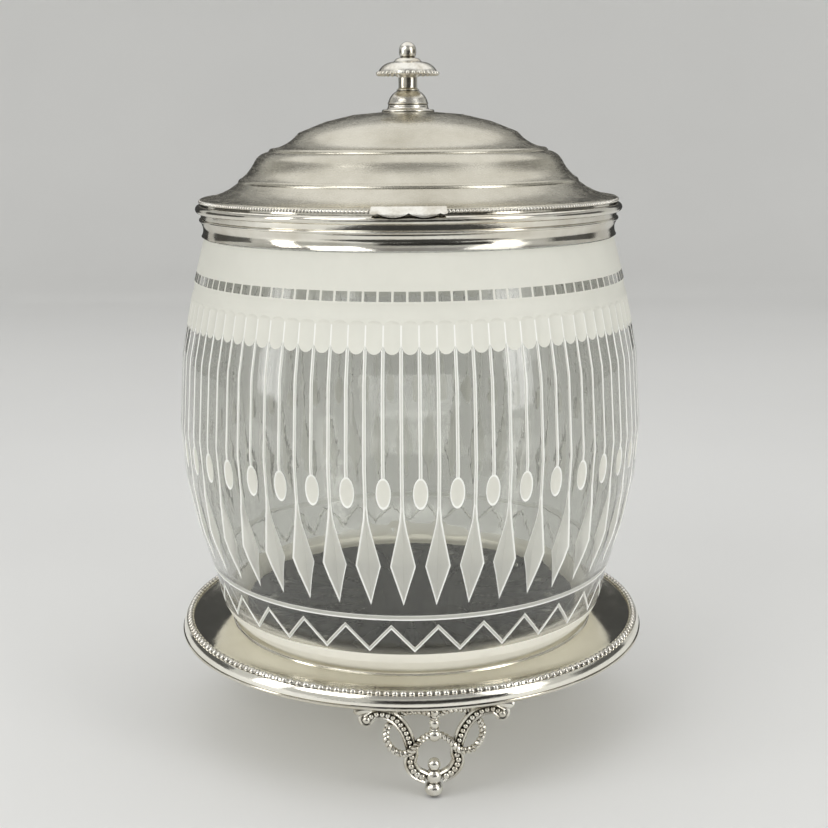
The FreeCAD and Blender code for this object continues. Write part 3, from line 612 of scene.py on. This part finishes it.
def cuts_at(across, height):
    """The depth of the cutting at a spot and the finish there."""
    if height > WINDOWS[1]:
        return 0.0, GROUND
    if height > WINDOWS[0]:
        bar = abs(folded(across, 0, WINDOW_PITCH))
        return 0.0, GROUND if bar < WINDOW_BAR else UNCUT
    if height > BAND_HOLLOW[0]:
        low, high, depth = BAND_HOLLOW
        share = abs(height - (low + high) / 2) / ((high - low) / 2)
        return depth * max(0.0, 1 - share * share), GROUND
    share = flute_share(across, height)
    if share < 1 and height > FLUTE_RUN[0] - FLUTE_ENDS[0]:
        return FLUTE_DEPTH * (1 - share * share), GROUND
    if height > LINE_TOP - FLUTE_GAP:
        return 0.0, CUT_EDGE if height < FLUTE_RUN[1] else GROUND
    column = abs(folded(across, PITCH / 2, PITCH))
    kite_side = abs(folded(across, PITCH / 2, 2 * PITCH))
    oval_side = abs(folded(across, PITCH * 1.5, 2 * PITCH))
    half = line_half(height, line_foot(kite_side < PITCH / 2))
    if column < half:
        depth = groove(column, half, half * LINE_CORE / LINE_HALF, LINE_DEPTH)
        return depth, CUT_EDGE if column > half * LINE_SHADE else CUT_FACET
    outer = math.hypot(oval_side / OVAL_HALF, (height - OVAL_HEIGHT) / OVAL_REACH)
    if outer < 1:
        return OVAL_DEPTH * (1 - outer * outer), CUT_EDGE if outer > OVAL_RINGS[1] else GROUND
    half = kite_half(height)
    if kite_side < half:
        return kite_cut(kite_side, half, height)
    if RING[0] < height < RING[1]:
        offset = abs(height - (RING[0] + RING[1]) / 2)
        half = (RING[1] - RING[0]) / 2
        depth = groove(offset, half, half - RING_EDGE, LINE_DEPTH)
        return depth, CUT_EDGE if offset > half - RING_EDGE else CUT_FACET
    offset = abs(height - zigzag_height(across))
    if offset < ZIGZAG_HALF and height < RING[0]:
        depth = groove(offset, ZIGZAG_HALF, ZIGZAG_CORE, ZIGZAG_DEPTH)
        return depth, CUT_EDGE if offset > ZIGZAG_CORE else CUT_FACET
    # Below the base band the ground glass has painted bounce light.
    return 0.0, GROUND_PAINTED_BOUNCE if height < BASE_BAND else UNCUT


class Drawing:
    """Points and lines of the flat pattern."""

    def __init__(self):
        self.points = []
        self.lines = []

    def draw(self, points, closed=False):
        """A run of lines, with more points where one is so long that it would leave the round barrel."""
        corners = [Vector(point) for point in points]
        if closed:
            corners.append(corners[0])
        run = [corners[0]]
        for corner, following in zip(corners, corners[1:]):
            steps = max(1, math.ceil((following - corner).length / LONGEST_CHORD))
            run += [corner.lerp(following, (step + 1) / steps) for step in range(steps)]
        first = len(self.points)
        self.points += run
        self.lines += [(first + index, first + index + 1) for index in range(len(run) - 1)]

    def mirrored(self, middle, side):
        """A closed form from its right side, given as (half width, height) from the top down."""
        right = [(middle + half, height) for half, height in side]
        left = [(middle - half, height) for half, height in reversed(side) if half > 1e-9]
        self.draw(right + left, True)


def ellipse(middle, height, half, reach, count=28):
    angles = FULL_TURN * np.arange(count) / count
    return [(middle + half * math.cos(angle), height + reach * math.sin(angle)) for angle in angles]


def flute_outline(share):
    """The right side of a flute's outline at a share of its size, from the top down."""
    side = []
    for middle, reach, angles in (
        (FLUTE_RUN[1], FLUTE_ENDS[1], FLUTE_TOP_ANGLES),
        (FLUTE_RUN[0], FLUTE_ENDS[0], FLUTE_FOOT_ANGLES),
    ):
        for degrees in angles:
            angle = math.radians(degrees)
            side.append((math.cos(angle) * share, middle + math.sin(angle) * share * reach))
    return [(x * FLUTE_HALF if x > 1e-9 else 0.0, z) for x, z in side]


def draw_kite(drawing, middle):
    drawing.mirrored(middle, KITE)
    core = [(max(half - KITE_EDGE, KITE_CORE), height) for half, height in KITE[:-1]]
    core.append((0.0, KITE_FOOT + KITE_EDGE * (KITE_GIRDLE[1] - KITE_FOOT) / KITE_GIRDLE[0]))
    drawing.mirrored(middle, core)
    drawing.draw([(middle, core[0][1]), (middle, core[-1][1])])
    half, height = core[-2]
    drawing.draw([(middle - half, height), (middle + half, height)])


def draw_pattern():
    drawing = Drawing()
    span = (-SECTOR_WIDTH * 0.5, SECTOR_WIDTH * 1.5)
    low, high = RING
    levels = [BASE_BAND, low, low + RING_EDGE, (low + high) / 2, high - RING_EDGE, high]
    low, high, _ = BAND_HOLLOW
    levels += [low + (high - low) * share for share in BAND_SHARES]
    levels += WINDOWS
    for height in levels:
        drawing.draw([(span[0], height), (span[1], height)])
    for bar in WINDOW_COPIES:
        for side in (-WINDOW_BAR, WINDOW_BAR):
            across = bar * WINDOW_PITCH + side
            drawing.draw([(across, WINDOWS[0]), (across, WINDOWS[1])])
    for flute in FLUTE_COPIES:
        for share in FLUTE_RINGS:
            drawing.mirrored(flute * PITCH, flute_outline(share))
        middle = (flute + 0.5) * PITCH
        is_kite = flute % 2 == 0
        foot = line_foot(is_kite)
        top = (middle, LINE_TOP)
        for half in (LINE_HALF, LINE_CORE):
            left, right = middle - half, middle + half
            drawing.draw([(left, foot), (left, LINE_FULL), top, (right, LINE_FULL), (right, foot)])
        drawing.draw([top, (middle, foot)])
        if is_kite:
            draw_kite(drawing, middle)
        else:
            for share in OVAL_RINGS:
                drawing.draw(ellipse(middle, OVAL_HEIGHT, OVAL_HALF * share, OVAL_REACH * share), True)
    for offset in (-ZIGZAG_HALF, -ZIGZAG_CORE, 0, ZIGZAG_CORE, ZIGZAG_HALF):
        points = []
        for half_turn in ZIGZAG_COPIES:
            across = half_turn * ZIGZAG_PITCH / 2 + ZIGZAG_SHIFT
            points.append((across, zigzag_height(across) + offset))
        drawing.draw(points)
    return drawing


def add_plain_points(drawing, edges):
    """Points on the uncut glass, so that the barrel stays round between the cuts."""
    step = SECTOR_WIDTH / PLAIN_COLUMNS
    around_spot = ((PLAIN_REACH, 0), (-PLAIN_REACH, 0), (0, PLAIN_REACH), (0, -PLAIN_REACH))
    taken = np.array([point[:] for point in drawing.points])
    for row, height in enumerate(np.arange(GLASS_FOOT + PLAIN_FIRST, GLASS_TOP - 1, PLAIN_RISE)):
        for column in range(-2, PLAIN_COLUMNS + 3):
            across = (column + 0.5 * (row % 2)) * step
            spots = [(across, height)]
            spots += [(across + dx, height + dz) for dx, dz in around_spot]
            if any(cuts_at(x, z)[0] > 0 for x, z in spots):
                continue
            if np.hypot(taken[:, 0] - across, taken[:, 1] - height).min() < PLAIN_GAP:
                continue
            drawing.points.append(Vector((across, height)))
    for across in (0.0, SECTOR_WIDTH):
        drawing.draw([(across, GLASS_FOOT), (across, GLASS_TOP)])
    for height in (GLASS_FOOT, GLASS_TOP):
        drawing.draw([(edge, height) for edge in edges])


def cut_sector():
    """Triangles of one sector of the barrel's outer face: flat spots, faces and finishes."""
    drawing = draw_pattern()
    per_sector = FINE_TURNS // SECTORS
    edges = [SECTOR_WIDTH * index / per_sector for index in range(per_sector + 1)]
    add_plain_points(drawing, edges)
    spots, _, faces, _, _, _ = delaunay_2d_cdt(drawing.points, drawing.lines, [], 0, DRAWING_GAP)
    spots = np.array([spot[:] for spot in spots])
    kept = []
    finishes = []
    for face in faces:
        middle = spots[list(face)].mean(axis=0)
        if 0 < middle[0] < SECTOR_WIDTH and GLASS_FOOT < middle[1] < GLASS_TOP:
            kept.append(face)
            finishes.append(cuts_at(*middle)[1])
    used = sorted({index for face in kept for index in face})
    renumber = {index: place for place, index in enumerate(used)}
    return spots[used], [[renumber[index] for index in face] for face in kept], finishes


def star_floor(pile):
    """The underside of the base, with a ring of pointed rays cut into it."""
    drawing = Drawing()
    rim, _ = lathe([BASE_RIM], FINE_TURNS, closed=False, start=PATTERN_START)
    drawing.draw(rim[:, :2].tolist(), True)
    ridges = []
    for ray in range(STAR_RAYS):
        inner, left, ridge, right, outer = [
            (radius * math.sin(ray * STAR_STEP + turn), -radius * math.cos(ray * STAR_STEP + turn))
            for radius, turn in (
                (STAR_INNER, 0),
                (STAR_WIDEST, -STAR_HALF),
                (STAR_WIDEST, 0),
                (STAR_WIDEST, STAR_HALF),
                (STAR_OUTER, 0),
            )
        ]
        drawing.draw([inner, right, outer, left], True)
        drawing.draw([inner, ridge, outer])
        drawing.draw([left, ridge, right])
        ridges.append(ridge)
    spots, _, faces, _, _, _ = delaunay_2d_cdt(drawing.points, drawing.lines, [], 1, DRAWING_GAP)
    spots = np.array([spot[:] for spot in spots])
    heights = np.full(len(spots), GLASS_FOOT)
    for ridge in ridges:
        nearest = np.hypot(spots[:, 0] - ridge[0], spots[:, 1] - ridge[1]).argmin()
        heights[nearest] += STAR_DEPTH
    for face in faces:
        middle = spots[list(face)].mean(axis=0)
        turn = folded(math.atan2(middle[0], -middle[1]), 0, STAR_STEP)
        radii = [STAR_INNER, STAR_WIDEST, STAR_OUTER]
        half = np.interp(math.hypot(*middle), radii, [0, STAR_HALF, 0], left=0, right=0)
        corners = np.column_stack([spots[list(face)], heights[list(face)]])
        pile.add(corners, [tuple(range(len(face)))], GROUND if abs(turn) < half else UNCUT)


def make_glass():
    pile = Pile()
    spots, faces, finishes = cut_sector()
    depths = np.array([cuts_at(*spot)[0] for spot in spots])
    radii = np.interp(spots[:, 1], SIDE_HEIGHTS, SIDE_RADII) - depths
    for finish in range(len(GLASS_MATERIALS)):
        chosen = [face for face, found in zip(faces, finishes) if found == finish]
        for sector in range(SECTORS):
            angles = PATTERN_START + sector * SECTOR_ANGLE + spots[:, 0] / REFERENCE_RADIUS
            points = np.column_stack([radii * np.sin(angles), -radii * np.cos(angles), spots[:, 1]])
            pile.add(points, chosen, finish)
    star_floor(pile)
    wall = [(np.interp(height, SIDE_HEIGHTS, SIDE_RADII) - WALL, height) for height in WALL_HEIGHTS]
    pile.add(*lathe(GLASS_NECK + wall + GLASS_FLOOR, FINE_TURNS, closed=False, start=PATTERN_START))
    obj = pile.piece("cut_glass_body", "jar", GLASS_MATERIALS, "glass_body")
    weld(obj, 2 * TINY)
    obj.data.set_sharp_from_angle(angle=CUT_SHARP_ANGLE)


# Turned silver

def inset_run(corners, inset):
    """The way back along a sheet's inside, from its crown to its lip."""
    items = []
    for index in range(len(corners) - 1, 0, -1):
        (radius, height), _ = corners[index]
        items += [(radius - inset[0], height - inset[1]), -corners[index - 1][1]]
    return items


LID_CORNERS = [
    ((76.4, 201.5), -1.1),
    ((63.0, 206.9), 0.4),
    ((61.6, 208.6), -0.4),
    ((57.0, 214.0), 0.9),
    ((51.6, 218.0), 0.5),
    ((49.6, 219.2), -0.95),
    ((40.3, 224.8), 1.7),
    ((9.6, 232.0), 0),
]
LID_SHEET = (0.54, 0.9)


def make_lid():
    items = [(76.4, 200.7), (77.0, 200.7), (77.0, 201.2), 0.1]
    for corner, bulge in LID_CORNERS:
        items += [corner, bulge] if bulge else [corner]
    items += [(1.7, 232.0), (1.7, 231.1)]
    items += inset_run(LID_CORNERS, LID_SHEET)
    items += [(74.78, 201.2), (76.4, 201.2)]
    turned("lid_shell", "lid", SATIN, items, "lid_dome")
    bezel = [(68.6, 195.5), 0.2, (69.4, 195.5), (69.4, 200.7), (76.4, 200.7), (76.4, 201.2), (68.6, 201.2)]
    turned("lid_bezel_ring", "lid", POLISHED, bezel, "lid_bezel")


def bead_ring(name, body, material, replaced, count, radius, height, bead, core):
    """A row of beads, each of the bead's radius, on a thin ring."""
    pile = Pile()
    for index in range(count):
        angle = FULL_TURN * index / count
        ball(pile, (radius * math.sin(angle), -radius * math.cos(angle), height), bead)
    ring = [(radius + across, height + up) for across, up in circle(core, 8)]
    pile.add(*lathe(ring, FINE_TURNS if radius > 20 else SMALL_TURNS))
    pile.piece(name, body, [material], replaced)


def make_beads():
    bead_ring("tray_beads", "stand", BEAD, "tray_bead_wire", 190, 86.9, 41.25, bead=1.38, core=0.9)
    bead_ring("lid_beads", "lid", BEAD, "lid_bead_wire", 372, 77.0, 200.5, bead=0.68, core=0.4)
    bead_ring("parasol_beads", "lid", CAST, "parasol_bead_wire", 34, 10.85, 245.7, bead=0.85, core=0.5)


def wire(centre, height, radius, outward):
    """A closed round outline, anticlockwise, from one side of its seat to the other. Outward points away
    from the seat."""
    angles = [outward + math.radians(angle) for angle in range(-120, 121, 12)]
    return [(centre + radius * math.cos(angle), height + radius * math.sin(angle)) for angle in angles]


def make_collar():
    shell = [
        (75.2, 188.0), (76.9, 188.0), -0.7, (76.9, 192.9), (76.9, 199.3), (75.9, 199.3), (75.9, 200.4),
        (70.0, 200.4), (70.0, 199.3), (75.2, 199.3),
    ]
    turned("collar_band", "jar", POLISHED, shell, "collar_shell")
    main_roll = wire(77.4, 197.8, 1.5, 0)
    turned("collar_top_roll", "jar", POLISHED, main_roll, "collar_main_roll")
    waist_roll = wire(77.0, 193.9, 0.6, 0)
    turned("collar_low_roll", "jar", POLISHED, waist_roll, "collar_waist_roll")


def make_tray():
    items = [
        (0, 39.6), (87.55, 39.6), 0.35, (88.65, 37.6), (89.55, 37.6), 0.35, (88.45, 41.0), (83.5, 41.0),
        (83.0, 40.7), (71.2, 40.7), (0, 40.7),
    ]
    turned("tray_dish", "stand", TRAY, items, "tray_plate")
    edge = wire(89.1, 37.0, 0.9, math.radians(-90))
    turned("tray_edge", "stand", POLISHED, edge, "tray_edge_wire")
    ring = [
        (70.4, 40.7), (70.4, 41.0), (70.2, 41.25), (69.95, 41.4), (69.65, 41.4), (69.4, 41.25), (69.2, 41.0),
        (69.2, 40.7),
    ]
    turned("jar_seat_ring", "stand", POLISHED, ring, "jar_locating_ring")


# The thumb piece: a thin shell over the lip with two shallow lobes below, its face leaning back.

THUMB_HALF = 12.3
THUMB_LOBE = 9.9
THUMB_CUSP = 200.2
THUMB_BULGES = (1.4, 0.4)
THUMB_COLUMNS = 60
THUMB_STEPS = 25
THUMB_RADIUS = 79.0
THUMB_BEND = 201.4
THUMB_FOOT = 197.5
THUMB_HOLLOW = 0.35
THUMB_FACE = [
    (74.2, 202.15), (76.2, 202.3), (77.3, 202.15), (77.95, 201.5), (78.5, 200.75), (79.05, 199.95),
    (79.55, 199.15), (79.95, 198.35), (80.25, THUMB_FOOT),
]
THUMB_BACK = [
    (74.2, 201.9), (76.2, 201.6), (76.9, 201.5), (77.65, 200.95), (78.0, 200.3), (78.5, 199.55),
    (79.0, 198.85), (79.4, 198.15), (79.7, THUMB_FOOT),
]


def thumb_edge(across):
    """The height of the lobed lower edge."""
    side = abs(across)
    if side < THUMB_LOBE:
        share = side / THUMB_LOBE
        return THUMB_CUSP - THUMB_BULGES[0] * (1 - (2 * share - 1) ** 2)
    share = (side - THUMB_LOBE) / (THUMB_HALF - THUMB_LOBE)
    return THUMB_CUSP - THUMB_BULGES[1] * (1 - (2 * share - 1) ** 2)


def make_thumb_piece():
    """Below its bend the section is squeezed to the lobed edge, and drawn in between the lobes."""
    shares = np.linspace(0, len(THUMB_FACE) - 1, THUMB_STEPS)
    lines = []
    for line in (np.array(THUMB_FACE), np.array(THUMB_BACK)):
        lines.append(np.column_stack([np.interp(shares, range(len(line)), values) for values in line.T]))
    section = np.vstack([lines[0], lines[1][::-1]])
    rows = len(section)
    radii, heights = section.T
    below_bend = heights < THUMB_BEND
    fall = THUMB_BEND - THUMB_FOOT
    spots = []
    for column in range(THUMB_COLUMNS + 1):
        across = THUMB_HALF * (2 * column / THUMB_COLUMNS - 1)
        foot = thumb_edge(across)
        lobe = math.sin(math.pi * min(1.0, abs(across) / THUMB_LOBE)) ** 2
        squeezed = foot + (heights - THUMB_FOOT) * (THUMB_BEND - foot) / fall
        squeezed = np.where(below_bend, squeezed, heights)
        drawn_in = THUMB_HOLLOW * (1 - lobe) * (THUMB_BEND - squeezed) / fall
        reach = radii - np.where(below_bend, drawn_in, 0)
        turn = across / THUMB_RADIUS
        spots.append(np.column_stack([reach * math.sin(turn), -reach * math.cos(turn), squeezed]))
    faces = []
    for column in range(THUMB_COLUMNS):
        for row in range(rows):
            below = (row + 1) % rows
            low, high = column * rows, (column + 1) * rows
            faces.append((low + row, high + row, high + below, low + below))
    faces.append(tuple(range(rows)))
    faces.append(tuple(reversed(range(THUMB_COLUMNS * rows, (THUMB_COLUMNS + 1) * rows))))
    pile = Pile()
    pile.add(np.vstack(spots), faces)
    weld(pile.piece("shell_thumb_tab", "lid", [CAST], "thumb_piece"))


def make_finial():
    pieces = {
        "finial_rosette": (
            "finial_rose",
            [
                (1.7, 232.0), (9.6, 232.0), 0.25, (9.1, 232.9), (8.4, 232.9), -0.3, (7.4, 233.9),
                (7.4, 234.2), 0.2, (6.6, 234.6), (1.7, 234.6),
            ],
        ),
        "finial_bell": (
            "finial_pedestal",
            [
                (1.7, 233.0), (3.6, 233.0), (3.6, 233.6), (7.0, 234.6), 0.125, (7.5, 235.1), (7.2, 235.6),
                0.5, (4.3, 239.4), (3.9, 239.6), 0.25, (3.9, 240.1), (3.4, 240.6), (3.4, 244.3), (0, 244.3),
                (0, 237.0), (1.7, 237.0),
            ],
        ),
        "finial_canopy": (
            "finial_parasol",
            [
                (0, 244.3), (3.4, 244.3), (4.1, 245.4), (10.9, 245.4), (10.9, 246.0), 1.1, (5.1, 249.8), 0.5,
                (2.5, 251.3), (0, 251.3),
            ],
        ),
        "finial_top": ("finial_knop", [(0, 251.3), (2.5, 251.3), 0.25, (3.1, 253.9), 0.908, (0, 257.0)]),
    }
    for name, (replaced, items) in pieces.items():
        turned(name, "lid", CAST, items, replaced, SMALL_TURNS)


# Feet

FOOT_GRID = (28.2, 35.6)
FOOT_TREAD = 80.0
FOOT_TILT = math.radians(6.3)
FOOT_BALL = (3.2, 3.0)
FOOT_TURNS = {"foot_front": 5.2, "foot_right": 125.2, "foot_left": 245.2}
ARM = [
    (0.82, 0.89), (0.70, 0.945), (0.51, 0.90), (0.37, 0.765), (0.295, 0.60), (0.27, 0.49), (0.295, 0.385),
    (0.225, 0.275), (0.09, 0.205),
]
ROPE = [
    (0.02, 0.90, 0.0), (0.21, 0.945, 0.3), (0.42, 0.90, 1.3), (0.57, 0.77, 0.9), (0.575, 0.63, 0.0),
    (0.46, 0.52, -0.9), (0.30, 0.53, -1.6), (0.17, 0.64, -0.8), (0.02, 0.70, -0.2),
]
ARM_SIZES = [1.15, 1.2, 1.2, 1.35, 1.35]
BEAD_SIZES = [1.0, 1.02, 1.3, 1.4]
LEAF = [(0.965, 0.955), (0.90, 0.985), (0.80, 0.985), (0.68, 0.965)]
LEAF_SIZES = [0.5, 1.3, 1.3, 0.8, 0.35]
LEAF_RADIUS = 1.3
ROPE_RADIUS = 1.25
ROPE_PITCH = 3.4
EYE_RADIUS = 1.6
EYE_RING = (2.3, 0.62)
BEAD_STEP = 2.0
BEAD_OUT = 0.55
MIDDLE_BALLS = [(0.93, 1.7), (0.81, 2.0), (0.68, 2.4), (0.355, 2.3), (0.225, 2.9)]
MIDDLE_DISCS = [(0.75, 1.7), (0.87, 1.5), (0.285, 1.9), (0.145, 2.1)]
DISC_HEIGHT = 0.28
STEM_RADIUS = 1.2
STEM_HEIGHTS = (0.68 * FOOT_GRID[1], 31.0, 37.5)
BAR = [(82.2, 36.2), (82.8, 35.6), (86.0, 35.6), (86.6, 36.2), (86.6, 39.6), (82.2, 39.6)]
BAR_REACH = 86.6
BAR_TURNS = 48
CHANNEL = [
    (1.75, 0.0), (1.66, -0.62), (1.3, -0.95), (0.92, -0.72), (0.6, -0.35), (0.0, -0.25), (-0.6, -0.35),
    (-0.92, -0.72), (-1.3, -0.95), (-1.66, -0.62), (-1.75, 0.0), (-1.66, 0.62), (-1.3, 0.95), (-0.92, 0.72),
    (-0.6, 0.35), (0.0, 0.25), (0.6, 0.35), (0.92, 0.72), (1.3, 0.95), (1.66, 0.62),
]


def foot_points(route, side):
    """A route on the foot's grid as points of its upright plane, each with a step in or out."""
    width, height = FOOT_GRID
    return [(spot[0] * width * side, spot[2] if len(spot) > 2 else 0.0, spot[1] * height) for spot in route]


def rope(pile, line):
    """Two strands laid round each other along a line."""
    lengths = np.concatenate([[0], np.cumsum(np.linalg.norm(np.diff(line, axis=0), axis=1))])
    sides, across = frames_along(line)
    for strand in range(2):
        phase = FULL_TURN * lengths / ROPE_PITCH + strand * math.pi
        offset = sides * np.cos(phase)[:, None] + across * np.sin(phase)[:, None]
        sweep(pile, line + offset * ROPE_RADIUS * 0.5, circle(ROPE_RADIUS * 0.58, 8))


def spread(count, stops, sizes):
    """Sizes at even steps along a line, between those at its stops."""
    return np.interp(np.linspace(0, 1, count), stops, sizes)


def foot_side(pile, side):
    """One half of the openwork: the channelled arm with its beads, the rope, the leaf and the ringed eye."""
    arm = smooth_line(foot_points(ARM, side), 0.45)
    sweep(pile, arm, CHANNEL, spread(len(arm), [0, 0.3, 0.6, 0.8, 1], ARM_SIZES))
    beads = smooth_line(foot_points(ARM, side), BEAD_STEP)
    for index, spot in enumerate(beads[1:-1]):
        size = np.interp(index / len(beads), [0, 0.5, 0.8, 1], BEAD_SIZES)
        for out in (-BEAD_OUT, BEAD_OUT):
            ball(pile, spot + np.array([0, out, 0]), size)
    rope(pile, smooth_line(foot_points(ROPE, side), 0.3))
    leaf = smooth_line(foot_points(LEAF, side), 0.5)
    leaf_section = circle(LEAF_RADIUS, 12) * np.array([1, 0.8])
    sweep(pile, leaf, leaf_section, spread(len(leaf), [0, 0.12, 0.4, 0.8, 1], LEAF_SIZES))
    eye = np.array(foot_points([ARM[0]], side)[0])
    ball(pile, eye, EYE_RADIUS, (1, 1.25, 1), ROUND_BALL)
    reach, thickness = EYE_RING
    ring = [eye + reach * np.array([math.cos(t), 0, math.sin(t)]) for t in np.linspace(0, FULL_TURN, 33)]
    sweep(pile, np.array(ring), circle(thickness, 8))


def foot_pile():
    pile = Pile()
    for side in (-1, 1):
        foot_side(pile, side)
    for height, radius in MIDDLE_BALLS:
        ball(pile, foot_points([(0, height)], 1)[0], radius, (1, 0.95, 1), ROUND_BALL)
    ball(pile, (0, 0, FOOT_BALL[1]), FOOT_BALL[0], (1, 1, FOOT_BALL[1] / FOOT_BALL[0]), ROUND_BALL)
    for height, radius in MIDDLE_DISCS:
        ball(pile, foot_points([(0, height)], 1)[0], radius, (1, 1, DISC_HEIGHT), ROUND_BALL)
    sweep(pile, np.array([(0, 0, height) for height in STEM_HEIGHTS]), circle(STEM_RADIUS, 12))
    return pile


def placed_foot(points, turn):
    """Moves foot points from their upright plane to where the foot stands."""
    ball_height = FOOT_BALL[1]
    tilt = Matrix.Translation((0, 0, ball_height)) @ Matrix.Rotation(FOOT_TILT, 4, "X")
    tilt = tilt @ Matrix.Translation((0, 0, -ball_height))
    whole = Matrix.Rotation(turn, 4, "Z") @ Matrix.Translation((0, -FOOT_TREAD, 0)) @ tilt
    matrix = np.array(whole)
    return points @ matrix[:3, :3].T + matrix[:3, 3]


def make_feet():
    bar = outline(BAR)
    bar_span = 2 * math.asin(FOOT_GRID[0] / BAR_REACH)
    last = BAR_TURNS * len(bar)
    bar_ends = [tuple(range(len(bar))), tuple(reversed(range(last, last + len(bar))))]
    source = foot_pile()
    for name, degrees in FOOT_TURNS.items():
        turn = math.radians(degrees)
        pile = Pile()
        points = placed_foot(np.vstack(source.points), turn)
        points[:, 2] = np.maximum(points[:, 2], 0.0)
        pile.add(points, source.faces)
        bar_points, bar_faces = lathe(bar, BAR_TURNS, True, turn - bar_span / 2, bar_span)
        pile.add(bar_points, bar_faces + bar_ends)
        weld(pile.piece(f"{name}_casting", "stand", [CAST], name), None)


make_glass()
make_lid()
make_beads()
make_collar()
make_tray()
make_thumb_piece()
make_finial()
make_feet()

NODE_MATERIALS = {
    "collar_cement": CEMENT,
    "hinge_collar_leaf": POLISHED,
    "hinge_lid_leaf": SATIN,
    "hinge_pin": STEEL,
    "finial_stud": STEEL,
    "finial_washer": STEEL,
    "finial_nut": STEEL,
}
for node_name, material in NODE_MATERIALS.items():
    for material_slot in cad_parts[node_name].material_slots:
        material_slot.material = material


# Stage

STAGE_COLOUR = (0.84, 0.84, 0.825)
STAGE_SHADE = 0.97
STAGE_REACH = 2.2
STAGE_BEND = 0.7
STAGE_HEIGHT = 1.5
BEND_STEPS = 12
CARD_REACH = 1.25
STRIP_REACH = 1.1
STRIP_HEIGHT = 0.4
JAR_MIDDLE = (0.0, 0.0, 0.13)
WORLD_COLOUR = (1.0, 0.995, 0.98)
WORLD_STRENGTH = 0.3
SENSOR = 36.0
LENS = 57.12
CAMERA_PLACE = (0.0, -0.49635, 0.227)
CAMERA_PITCH = math.radians(12.37)
CAMERA_YAW = math.radians(-0.17)
CAMERA_ROLL = math.radians(-0.38)


def stage_material(name, colour, roughness):
    material, tree, shader = plain_material(name)
    cloud = noise(tree, 3.0, detail=2.0, roughness=0.5)
    darker = tuple(value * STAGE_SHADE for value in colour)
    tree.links.new(ramp(tree, cloud, [(0.3, darker), (0.7, colour)]), shader.inputs["Base Color"])
    shader.inputs["Roughness"].default_value = roughness
    return material


def make_stage():
    """A pale floor that curves up into a wall all round."""
    flat = STAGE_REACH - STAGE_BEND
    profile = [(0.0, 0.0), (0.4, 0.0), (0.9, 0.0), (flat, 0.0)]
    for step in range(1, BEND_STEPS + 1):
        angle = math.pi / 2 * step / BEND_STEPS
        profile.append((flat + STAGE_BEND * math.sin(angle), STAGE_BEND * (1 - math.cos(angle))))
    profile.append((STAGE_REACH, STAGE_HEIGHT))
    points, faces = lathe(profile, SMALL_TURNS, closed=False)
    mesh = bpy.data.meshes.new("stage_floor")
    mesh.from_pydata(points.tolist(), [], faces)
    mesh.polygons.foreach_set("use_smooth", [True] * len(mesh.polygons))
    mesh.materials.append(stage_material("stage_pale", STAGE_COLOUR, 0.7))
    obj = linked("stage_floor", mesh)
    weld(obj)


def around(azimuth, reach, height):
    """A place round the jar, with the azimuth counted from the front towards the right."""
    turn = math.radians(azimuth)
    return reach * math.sin(turn), -reach * math.cos(turn), height


def card(name, location, target, width, height, shade):
    """A card that only reflections see."""
    x, y = width / 2, height / 2
    mesh = bpy.data.meshes.new(name)
    mesh.from_pydata([(-x, -y, 0), (x, -y, 0), (x, y, 0), (-x, y, 0)], [], [(0, 1, 2, 3)])
    mesh.materials.append(stage_material(f"{name}_shade", (shade, shade, shade * 0.97), 0.8))
    obj = linked(name, mesh)
    aim(obj, location, target)
    obj.visible_camera = False
    obj.visible_diffuse = False
    obj.visible_shadow = False
    obj.visible_transmission = False


def aim(obj, location, target):
    obj.location = location
    direction = Vector(target) - Vector(location)
    obj.rotation_euler = direction.to_track_quat("-Z", "Y").to_euler()


def lamp(name, location, width, height, power):
    """A softbox that faces the jar."""
    data = bpy.data.lights.new(name, "AREA")
    data.shape = "RECTANGLE"
    data.size = width
    data.size_y = height
    data.energy = power
    obj = linked(name, data)
    aim(obj, location, JAR_MIDDLE)
    return obj


def make_lights():
    """Softboxes and strips, and dark cards for the metal to reflect. No glass mirrors the front box."""
    lamp("key_softbox", (-0.9, -1.0, 1.1), 0.8, 0.8, 5)
    lamp("fill_softbox", (1.0, -0.8, 0.8), 0.7, 0.9, 2.5)
    lamp("top_softbox", (0.0, 0.3, 1.5), 2.8, 2.0, 13)
    lamp("front_softbox", (0.0, -1.45, 0.2), 1.3, 0.35, 4.5).visible_glossy = False
    for name, azimuth in (("left_strip", -69), ("right_strip", 52)):
        lamp(name, around(azimuth, STRIP_REACH, STRIP_HEIGHT), 0.26, 0.75, 2.0)
    for name, azimuth, width, height, shade in (
        ("front_card", 14, 1.5, 0.5, 0.02),
        ("left_card", -112, 0.9, 0.5, 0.1),
        ("right_card", 100, 0.9, 0.5, 0.1),
        ("back_card", 180, 1.9, 0.75, 0.05),
    ):
        card(name, around(azimuth, CARD_REACH, height / 2), (0.0, 0.0, height / 2), width, height, shade)
    card("low_card", (0.06, -0.77, 0.004), (0.06, -0.77, 0.0), 0.8, 0.9, 0.03)


def make_world():
    world = bpy.data.worlds.new("studio")
    bpy.context.scene.world = world
    world.use_nodes = True
    background = world.node_tree.nodes["Background"]
    background.inputs["Color"].default_value = (*WORLD_COLOUR, 1)
    background.inputs["Strength"].default_value = WORLD_STRENGTH


def make_camera():
    data = bpy.data.cameras.new("camera")
    data.sensor_width = SENSOR
    data.lens = LENS
    camera = linked("camera", data)
    turn = Matrix.Rotation(CAMERA_YAW, 4, "Z")
    turn = turn @ Matrix.Rotation(math.pi / 2 - CAMERA_PITCH, 4, "X") @ Matrix.Rotation(CAMERA_ROLL, 4, "Z")
    camera.matrix_world = Matrix.Translation(CAMERA_PLACE) @ turn
    bpy.context.scene.camera = camera


make_stage()
make_lights()
make_world()
make_camera()
bpy.context.scene.view_settings.view_transform = "Standard"
